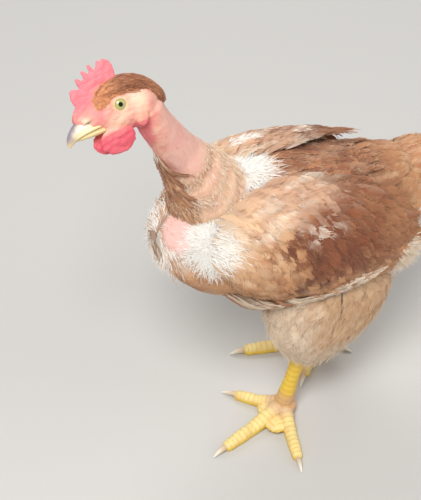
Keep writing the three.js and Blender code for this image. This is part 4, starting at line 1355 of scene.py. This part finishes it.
class PULLET_OT_wings(bpy.types.Operator):
    """Lay both folded wings: flight feathers in tiers, then the coverts over them"""

    bl_idname = "pullet.wings"
    bl_label = "Wings"

    # Each tier's count, its roots' and its tips' shares along and degrees round at both ends, its width and lift
    TIERS = (
        (11, ((0.22, 208), (0.36, 184)), ((0.54, 211), (0.72, 178)), 7.0, 2.6),
        (12, ((0.20, 190), (0.46, 134)), ((0.50, 205), (0.74, 156)), 8.5, 4.2),
        (11, ((0.20, 182), (0.42, 124)), ((0.40, 203), (0.64, 136)), 8.5, 5.6),
    )

    def execute(self, context):
        finish = material("wing_feathers", settings().feather_roughness, barbs=0.1, sheen=0.08)
        for name, foot in FEET.items():
            side = foot["side"]
            flights, coverts = Plumage(), Plumage()
            for count, roots, tips, wide, lift in self.TIERS:
                if side > 0:
                    tips = (tips[0], (tips[1][0] - 0.2, tips[1][1] + 10))
                self.lay_tier(flights, side, count, roots, tips, wide, lift)
            self.lay_tips(flights, side)
            piece = f"flight_feathers_{name}"
            finished(piece, flights.mesh(piece), finish, [f"wing_{name}"])
            self.lay_coverts(coverts, side)
            finished(f"coverts_{name}", coverts.mesh(f"coverts_{name}"), finish)
        return {"FINISHED"}

    @staticmethod
    def lay_tier(plumage, side, count, roots, tips, wide, lift):
        """One row of long feathers that overlap from the wing's lower edge to its upper one."""
        share = np.linspace(0, 1, count)
        t0 = roots[0][0] + (roots[1][0] - roots[0][0]) * share
        t1 = tips[0][0] + (tips[1][0] - tips[0][0]) * share + RNG.normal(0, 0.006, count)
        a0 = np.radians(roots[0][1] + (roots[1][1] - roots[0][1]) * share)
        a1 = np.radians(tips[0][1] + (tips[1][1] - tips[0][1]) * share + RNG.normal(0, 1.2, count))
        a0, a1 = mirrored(a0, side), mirrored(a1, side)
        s = np.linspace(0, 1, 15)
        t = t0[:, None] + (t1 - t0)[:, None] * s
        a = a0[:, None] + (a1 - a0)[:, None] * s
        height = lift + 0.3 * (np.arange(count) % 3)[:, None] - 6 * fade(s, 0, 0.3) - 0.9 * ease(s, 0.75, 1)
        if side > 0:
            height = height - 9 * ease(t, 0.46, 0.62)
        plumage.blades(CARRIER.point(t, a, height), CARRIER.out(t, a, height), np.full(count, wide),
                       flight_colour, unwrapped(t0, a0), thick=0.8, curl=90, notch=0.05, blunt=0.5, stations=s,
                       barbs=40, reach=7.0)

    @staticmethod
    def lay_tips(plumage, side):
        """The primaries' pale tips, which fan out under the wing's lower edge."""
        n = 60
        share = (np.arange(n) + 0.5) / n
        t = 0.17 + 0.36 * share + RNG.normal(0, 0.006, n)
        a = np.radians(214 - 19 * share**1.4 + RNG.uniform(-4, 4, n))
        way = np.radians(20 - 38 * share + RNG.normal(0, 4, n))
        if side > 0:
            a, way = math.pi - a, -way
        laid(plumage, CARRIER, t, a, RNG.uniform(26, 40, n), way, RNG.uniform(2.4, 4.0, n), tip_colour,
             depth=3.0, top=9.4, wild=0.4, blunt=0.12, notch=0.12, barbs=34, reach=6.0, curl=40, shade=0.09)

    @staticmethod
    def lay_coverts(plumage, side):
        """The small feathers that cover the wing from its shoulder back."""
        t, a = scattered(CARRIER, 4.7, (0.07, 0.74), (96 if side < 0 else 86, 226))
        x, y = wing_place(t, a)
        inside = (x / 1.02) ** 2 + (y / np.where((side > 0) & (y < 0), 1.3, 1.04)) ** 2 < 1
        inside &= y < 0.7 + 0.3 * ease(-x, 0, 0.7) + 0.3 * ease(x, 0.3, 0.7)
        inside &= (x < np.where(y > -0.1, 0.95, 0.64)) | (side < 0)
        t, a, x, y = t[inside], a[inside], x[inside], y[inside]
        n = len(t)
        way = np.radians(44 - 20 * ease(-y, 0.3, 0.95) - 26 * ease(y, 0.15, 0.9) - 16 * ease(x, 0.2, 0.8))
        length = (RNG.uniform(23, 32, n) + 8 * ease(x, -0.4, 0.4)) * (1 - 0.45 * ease(x, 0.45, 0.95))
        wide = RNG.uniform(3.3, 4.8, n)
        if side > 0:
            a, way = math.pi - a, -way
        laid(plumage, CARRIER, t, a, length, way, wide, wing_colour, depth=3.4, top=0.6, dome=wing_dome,
             wild=1.1, blunt=0.15, notch=0.16, barbs=18, reach=7.0, curl=24, shade=0.07)


class PULLET_OT_tail(bpy.types.Operator):
    """Lay the tail's long feathers and the coverts over their roots"""

    bl_idname = "pullet.tail"
    bl_label = "Tail"

    def execute(self, context):
        finish = material("tail_feathers", settings().feather_roughness, barbs=0.1, sheen=0.08)
        long_, short = Plumage(), Plumage()
        for side in (-1, 1):
            for i in range(7):
                self.feather(long_, side, i * 0.68, 129 - 4 * i * 0.68, 12.0, 0, 95, 4)
            for i in range(6):
                self.feather(short, side, i * 0.8, 68 - 4 * i, 8.5, 5.0, 90, 5)
        finished("tail_feathers", long_.mesh("tail_feathers"), finish, ["tail"])
        t, a = scattered(TAIL_ROOT, 5.6, (0.02, 0.8), (-90, 270))
        n = len(t)
        laid(short, TAIL_ROOT, t, a, RNG.uniform(26, 38, n), np.zeros(n), RNG.uniform(5, 6.6, n), tail_colour,
             depth=3, top=-0.5, barbs=14, reach=7)
        finished("tail_coverts", short.mesh("tail_coverts"), finish)
        return {"FINISHED"}

    @staticmethod
    def feather(plumage, side, i, length, wide, lift, start, drop):
        """One long feather, i places out from the tail's middle."""
        yaw, fall = math.radians(side * (1.5 + 3.8 * i)), math.radians(drop + 1.4 * i)
        way = np.array([math.cos(yaw) * math.cos(fall), math.sin(yaw) * math.cos(fall), -math.sin(fall)])
        roll = math.radians(18 + 12 * i)
        out = np.array([0, side * math.sin(roll), math.cos(roll)])
        root = np.array([start, side * (3 + 2.2 * i), 221 - 3.4 * i + lift])
        s = np.linspace(0, 1, 15)
        centre = root + way * (length * s)[:, None] + np.array([0, 0, 5.0]) * np.sin(math.pi * s)[:, None]
        uv = np.array([[(0.5 + 0.05 * side * (i + 1)) % 1, 0.97]])
        plumage.blades(centre[None], np.broadcast_to(out, (1, 15, 3)), np.array([wide]), tail_colour, uv,
                       thick=0.8, curl=110, notch=0.05, blunt=0.8, stations=s, barbs=60, reach=7.0)


def tail_colour(q, s, x, r):
    """Buff and tan, red-brown at the roots and towards the tips, and white below."""
    base = mixed(BUFF, TAN, np.clip(0.5 + 0.5 * ripple(q, 12, 52) + 0.4 * (r - 0.5), 0, 1))
    base = mixed(base, RUST, 0.5 * ease(q[..., 0], 140, 175) * (0.4 + 0.6 * r))
    base = mixed(base, RUST, 0.6 * fade(q[..., 0] + 20 * (r - 0.5), 96, 128) * (0.3 + 0.7 * r))
    base = mixed(base, CREAM, 0.4 * ease(np.abs(x), 0.3, 1))
    above = ease(q[..., 2] + 3 * ripple(q, 9, 53), 198, 210)
    return mixed(WHITE, base, np.maximum(above, ease(q[..., 0], 132, 150)))


def crown_colour(q, s, x, r):
    """Orange bristles before the eye, brown feathers behind."""
    h = to_head(q)
    base = mixed(srgb(0.89, 0.62, 0.43), srgb(0.60, 0.37, 0.25), ease(h[..., 0], -9, 8))
    base = mixed(base, srgb(0.74, 0.52, 0.38), 0.65 * (r > 0.6) + 0.2 * ease(h[..., 0], 18, 32))
    base = mixed(base, srgb(0.42, 0.24, 0.16), 0.6 * (r < 0.22))
    return mixed(base, base * 1.3, 0.5 * ease(s, 0.6, 1))


def tuft_colour(q, s, x, r):
    """Brown with cream shafts, whiter at the top."""
    share = np.clip(0.2 + 0.6 * r + 0.3 * ripple(q, 8, 60), 0, 1)
    base = mixed(srgb(0.54, 0.33, 0.21), srgb(0.76, 0.55, 0.40), share)
    light = np.clip(ease(q[..., 2] + 10 * (r - 0.5), 296, 306) + 0.5 * (r > 0.85), 0, 1)
    light = light + 0.35 * fade(np.abs(x), 0.0, 0.5)
    return mixed(base, CREAM, np.clip(0.7 * light * (1 - 0.4 * ease(s, 0.5, 1.0)), 0, 1))


class PULLET_OT_head_feathers(bpy.types.Operator):
    """Lay the crown's small feathers and the tuft on the front of the neck"""

    bl_idname = "pullet.head_feathers"
    bl_label = "Crown and neck tuft"

    def execute(self, context):
        finish = material("head_feathers", settings().feather_roughness, barbs=0.08, sheen=0.1)
        t, a = scattered(CROWN, 1.5, (0.03, 0.97), (-50, 230), jitter=0.6)
        n = len(t)
        crown = Plumage()
        fine = {"thick": 0.2, "curl": 14, "barbs": 0, "stations": np.linspace(0, 1, 6), "shade": 0.1,
                "blunt": 0.1, "to_bird": from_head}
        laid(crown, CROWN, t, a, RNG.uniform(9, 14, n), 0.1 * side_down(a), RNG.uniform(0.45, 0.75, n),
             crown_colour, depth=1.0, top=0.1, wild=0.9, **fine)
        t, a = scattered(SKULL, 1.5, (0.26, 0.62), (18, 162), lambda t_, a_, p: bristly(p), jitter=0.5)
        n = len(t)
        laid(crown, SKULL, t, a, RNG.uniform(3, 5.5, n), -0.3 * side_down(a), RNG.uniform(0.28, 0.4, n),
             crown_colour, depth=0.3, top=0.5, wild=1.6, **fine)
        t, a = scattered(SKULL, 1.4, (0.46, 0.93), (14, 166), lambda t_, a_, p: fringed(p), jitter=0.6)
        n = len(t)
        laid(crown, SKULL, t, a, RNG.uniform(6, 10, n), 0.22 * side_down(a), RNG.uniform(0.35, 0.55, n),
             crown_colour, depth=0.6, top=1.1, wild=1.1, **fine)
        t, a = thrown(2200, 0.02, 0.92, -45, 225)
        crown_hairs(crown, CROWN, t, a, 0.5)
        t, a = thrown(9000, 0.26, 0.93, 16, 164)
        p = SKULL.point(t, a)
        chosen = np.where(p[:, 0] < 4, bristly(p), fringed(p))
        crown_hairs(crown, SKULL, t[chosen], a[chosen], 0.7)
        finished("crown_feathers", crown.mesh("crown_feathers"), finish, ["crown"])

        def keep(t_, a_, p):
            front = np.degrees(a_)
            return (front < 296 - 24 * t_) & (front > 246 - 60 * (t_ - 0.42))

        t, a = scattered(NECK, 3.6, (0.40, 0.74), (195, 292), keep)
        n = len(t)
        tuft = Plumage()
        laid(tuft, NECK, t, a, RNG.uniform(18, 26, n), np.full(n, -0.3), RNG.uniform(1.7, 2.6, n),
             tuft_colour, depth=1.0, top=3.6, wild=1.4, thick=0.3, curl=20, notch=0.2, barbs=16, reach=5.5)
        piece = "neck_tuft_feathers"
        finished(piece, tuft.mesh(piece), finish, ["neck_tuft"])
        return {"FINISHED"}


def crown_hairs(plumage, form, t, a, lift):
    """Fine hair-like feathers that lie back over a form of the head."""
    n = len(t)
    root = from_head(form.point(t, a, lift))
    along, round_ = form.steps(np.clip(t, 0.01, 0.99), a, np.zeros(n))
    turn = 0.1 * side_down(a) + RNG.normal(0, 0.2, n)
    way = unit(unit(along) * np.cos(turn)[:, None] + unit(round_) * np.sin(turn)[:, None]) @ HEAD_TURN
    tint = crown_colour(root, 0.7, 0.0, RNG.uniform(0, 1, n)) * (1 + 0.1 * RNG.normal(0, 1, (n, 1)))
    plumage.strands(root, way, form.out(t, a) @ HEAD_TURN, RNG.uniform(3, 6, n), np.full(n, 0.16),
                    (tint, tint * 1.1), unwrapped(t, a))


def fringed(p):
    """True on the head's skin just below the crown, behind the eye."""
    return (p[:, 2] > 6.5 - 0.28 * np.clip(p[:, 0] - 14, 0, 40) + 1.2 * ripple(p, 5, 61)) & (p[:, 0] > 2)


def bristly(p):
    """True on the head's skin above and before the eye."""
    over = np.hypot(p[:, 0] / EYELID_STRETCH[0], p[:, 2] / EYELID_STRETCH[1])
    return (over > 6.6) & (p[:, 2] > 1.0 + 0.25 * (p[:, 0] + 16)) & (np.abs(p[:, 1]) > 3.4) & (p[:, 0] < 6)


# The nostril's place in the head's frame, along and up: ahead of the eye and a little below it
NOSTRIL = (-26.5, -5.2)


class PULLET_OT_bill(bpy.types.Operator):
    """Make the horny bill, with nostrils"""

    bl_idname = "pullet.bill"
    bl_label = "Bill"

    def execute(self, context):
        finish = material("bill_horn", 0.38, subsurface=0.05, patch=0.05, bumps=((700, 0.12, 0.0005),))
        upper = Form(BILL.line, (8, 7.8, 6.3, 4.0, 1.4), BILL.high, (7.6, 7.6, 6.4, 4.6, 1.6), BILL.ends)
        lower_line = [(x, y, z + 2.0) for x, y, z in LOWER_BILL.line]
        under = Form(lower_line, (6.4, 5.9, 4.2, 1.6), LOWER_BILL.high, LOWER_BILL.low, LOWER_BILL.ends)
        for name, form, lower in (("bill_upper", upper, False), ("bill_lower", under, True)):
            bm = form.mesh(64, 48)
            h = np.array([v.co for v in bm.verts])
            t = nearest_share(form, h)
            middle, tall = through(form.line, t)[:, 2], through(form.high if lower else form.low, t)
            reach = (h[:, 2] - middle) * (1 if lower else -1) / tall
            flat = np.where(reach > 0.5, 0.5 + (reach - 0.5) * 0.3, reach)
            h[:, 2] = middle + flat * tall * (1 if lower else -1)
            h[:, 1] *= 1 + 0.22 * ease(reach, 0.15, 0.5) * fade(reach, 0.6, 1)
            h[:, 0] += 0.02 * np.maximum(-30 - h[:, 0], 0)
            for v, q in zip(bm.verts, h):
                v.co = q
                dent = math.exp(-(((q[0] - NOSTRIL[0]) / 2.6) ** 2 + ((q[2] - NOSTRIL[1]) / 1.0) ** 2))
                v.co.y -= (0 if lower else 1.5 * dent) * (1 if q[1] > 0 else -1)
            x, y, z = h.T
            horn = mixed(srgb(0.93, 0.84, 0.62), srgb(0.95, 0.90, 0.80), ease(z - 0.25 * (x + 40), -15, -9))
            if not lower:
                rim = np.clip(1 - np.abs(z - 0.36 * (x + 30) + 15.2) / 1.6, 0, 1)
                ridge = fade(np.abs(y) + 0.5 * ripple(h, 3, 90), 2.4, 6.4) * ease(-x, 20, 27)
                horn = layered(horn, (srgb(0.86, 0.62, 0.32), 0.7 * rim),
                               (srgb(0.56, 0.50, 0.56), 0.9 * ridge * ease(z, -19, -11)),
                               (srgb(0.30, 0.20, 0.18), 0.9 * blot(h, *NOSTRIL, 2.4, 0.9)))
            shaped(head_mesh(bm), name, horn, finish, [name], "_horn")
        return {"FINISHED"}


class PULLET_OT_eyes(bpy.types.Operator):
    """Make both eyes and their lids"""

    bl_idname = "pullet.eyes"
    bl_label = "Eyes"

    def execute(self, context):
        finish = material("eye", 0.08, coat=0.6)
        lid_finish = material("eyelid", 0.5, subsurface=0.1)
        for name, foot in FEET.items():
            side = foot["side"]
            bm = ball((0, 0, 0), (EYE_RADIUS,) * 3, 48, 48)
            bmesh.ops.rotate(bm, cent=(0, 0, 0), matrix=Matrix.Rotation(math.radians(90 * -side), 3, "X"),
                             verts=bm.verts)
            h = np.array([v.co for v in bm.verts])
            off = np.hypot(h[:, 0], h[:, 2])
            colours = mixed(srgb(0.02, 0.02, 0.02), srgb(0.70, 0.70, 0.42), ease(off, 1.7, 2.0))
            colours = mixed(colours, srgb(0.50, 0.48, 0.28), ease(off, 3.4, 4.1))
            bmesh.ops.translate(bm, vec=(0, side * EYE_OUT, 0), verts=bm.verts)
            shaped(head_mesh(bm), f"eyeball_{name}", colours, finish, [f"eye_{name}"])
            out = side * (EYE_OUT + math.sqrt(EYE_RADIUS**2 - LID_RADIUS**2))
            lid = ring((0, out - side * 0.1, 0), LID_RADIUS, 0.62, (1.06, 1.1, 0.97))
            h = np.array([v.co for v in lid.verts])
            inner = fade(np.hypot(h[:, 0], h[:, 2]), LID_RADIUS - 0.5, LID_RADIUS + 0.1)
            colours = mixed(srgb(0.93, 0.76, 0.62), srgb(0.56, 0.42, 0.32), inner)
            shaped(head_mesh(lid), f"eyelid_{name}", colours, lid_finish)
        return {"FINISHED"}


class PULLET_OT_claws(bpy.types.Operator):
    """Make the claws"""

    bl_idname = "pullet.claws"
    bl_label = "Claws"

    def execute(self, context):
        finish = material("claw_horn", 0.4, subsurface=0.05, patch=0.06)
        for name in FEET:
            for toe in TOES:
                _, way, end, half = toe_parts(name, toe)
                line = [tuple(end + way * CLAW_REACH * s + np.array([0, 0, lift])) for s, lift in CLAW_ARCH]
                line[-1] = (*line[-1][:2], CLAW_TIP_HEIGHT)
                size = [half * 0.5, half * 0.54, half * 0.4, 0.5]
                bm = Form(line, size, size, None, (0.1, 0.08), (-way[1], way[0], 0)).mesh(20, 16)
                h = np.array([v.co for v in bm.verts])
                tip = ease((h - end) @ way, 0, CLAW_LENGTH)
                colours = mixed(srgb(0.80, 0.70, 0.56), srgb(0.93, 0.90, 0.84), tip)
                label = f"claw_{name}_{toe[0]}"
                shaped(bm, label, colours, finish, [label], "_horn")
        return {"FINISHED"}


# The camera's place and aim in the bird's frame, its sensor and lens, and the lamps' places, power and sizes
CAMERA_AT = np.array([-441.7, -763.4, 974.3])
CAMERA_LOOKS_AT = np.array([-86.24, -1.11, 190.0])
CAMERA_SENSOR, CAMERA_LENS = 36, 100.8
LAMPS = (
    ("key", (-0.8, -0.9, 2.0), 44, 0.8),
    ("fill", (1.5, -1.0, 1.2), 9, 1.4),
    ("back", (0.4, 1.4, 1.8), 16, 1.0),
)
LAMPS_LOOK_AT = Vector((0, 0, 0.2))
FLOOR_HALF = 6
SKY = (1.0, 0.98, 0.95, 1)
SKY_STRENGTH = 0.34


class PULLET_OT_stage(bpy.types.Operator):
    """Set the floor, lights and camera"""

    bl_idname = "pullet.stage"
    bl_label = "Stage"

    def execute(self, context):
        bm = bmesh.new()
        bmesh.ops.create_grid(bm, x_segments=1, y_segments=1, size=FLOOR_HALF)
        mesh = bpy.data.meshes.new("floor")
        bm.to_mesh(mesh)
        bm.free()
        floor = bpy.data.objects.new("floor", mesh)
        context.scene.collection.objects.link(floor)
        paint = bpy.data.materials.new("floor")
        paint.use_nodes = True
        shader = paint.node_tree.nodes["Principled BSDF"]
        shader.inputs["Base Color"].default_value = (*settings().floor_colour, 1)
        shader.inputs["Roughness"].default_value = 0.9
        mesh.materials.append(paint)
        for name, at, power, size in LAMPS:
            lamp = bpy.data.lights.new(name, "AREA")
            lamp.energy, lamp.size = power, size
            light = bpy.data.objects.new(name, lamp)
            light.location = at
            light.rotation_euler = (LAMPS_LOOK_AT - Vector(at)).to_track_quat("-Z", "Y").to_euler()
            context.scene.collection.objects.link(light)
        world = bpy.data.worlds.new("studio")
        world.use_nodes = True
        world.node_tree.nodes["Background"].inputs["Color"].default_value = SKY
        world.node_tree.nodes["Background"].inputs["Strength"].default_value = SKY_STRENGTH
        context.scene.world = world
        context.scene.view_settings.view_transform = "Standard"
        eye = bpy.data.cameras.new("camera")
        eye.sensor_width, eye.lens = CAMERA_SENSOR, CAMERA_LENS
        camera = bpy.data.objects.new("camera", eye)
        at, aim = Vector(placed(CAMERA_AT)), Vector(placed(CAMERA_LOOKS_AT))
        camera.location = at
        camera.rotation_euler = (aim - at).to_track_quat("-Z", "Y").to_euler()
        context.scene.collection.objects.link(camera)
        context.scene.camera = camera
        return {"FINISHED"}


class PULLET_PT_panel(bpy.types.Panel):
    """Sizes and pieces of the pullet"""

    bl_label = "Pullet"
    bl_space_type = "VIEW_3D"
    bl_region_type = "UI"
    bl_category = "Pullet"

    def draw(self, context):
        for name in Pullet.__annotations__:
            self.layout.prop(context.scene.pullet, name)
        for step in STEPS:
            self.layout.operator(step.bl_idname)


STEPS = (
    PULLET_OT_skin, PULLET_OT_body_feathers, PULLET_OT_down, PULLET_OT_thigh_feathers, PULLET_OT_wings,
    PULLET_OT_tail, PULLET_OT_head_feathers, PULLET_OT_bill, PULLET_OT_eyes, PULLET_OT_claws, PULLET_OT_stage,
)
CLASSES = (Pullet, *STEPS, PULLET_PT_panel)


def register():
    """Adds the settings, the operators and the panel."""
    for cls in CLASSES:
        bpy.utils.register_class(cls)
    bpy.types.Scene.pullet = bpy.props.PointerProperty(type=Pullet)


def unregister():
    """Takes out what register adds."""
    del bpy.types.Scene.pullet
    for cls in reversed(CLASSES):
        bpy.utils.unregister_class(cls)


def main():
    """Builds the pullet."""
    register()
    bpy.ops.pullet.skin()
    bpy.ops.pullet.body_feathers()
    bpy.ops.pullet.down()
    bpy.ops.pullet.thigh_feathers()
    bpy.ops.pullet.wings()
    bpy.ops.pullet.tail()
    bpy.ops.pullet.head_feathers()
    bpy.ops.pullet.bill()
    bpy.ops.pullet.eyes()
    bpy.ops.pullet.claws()
    bpy.ops.pullet.stage()


if __name__ == "__main__":
    main()
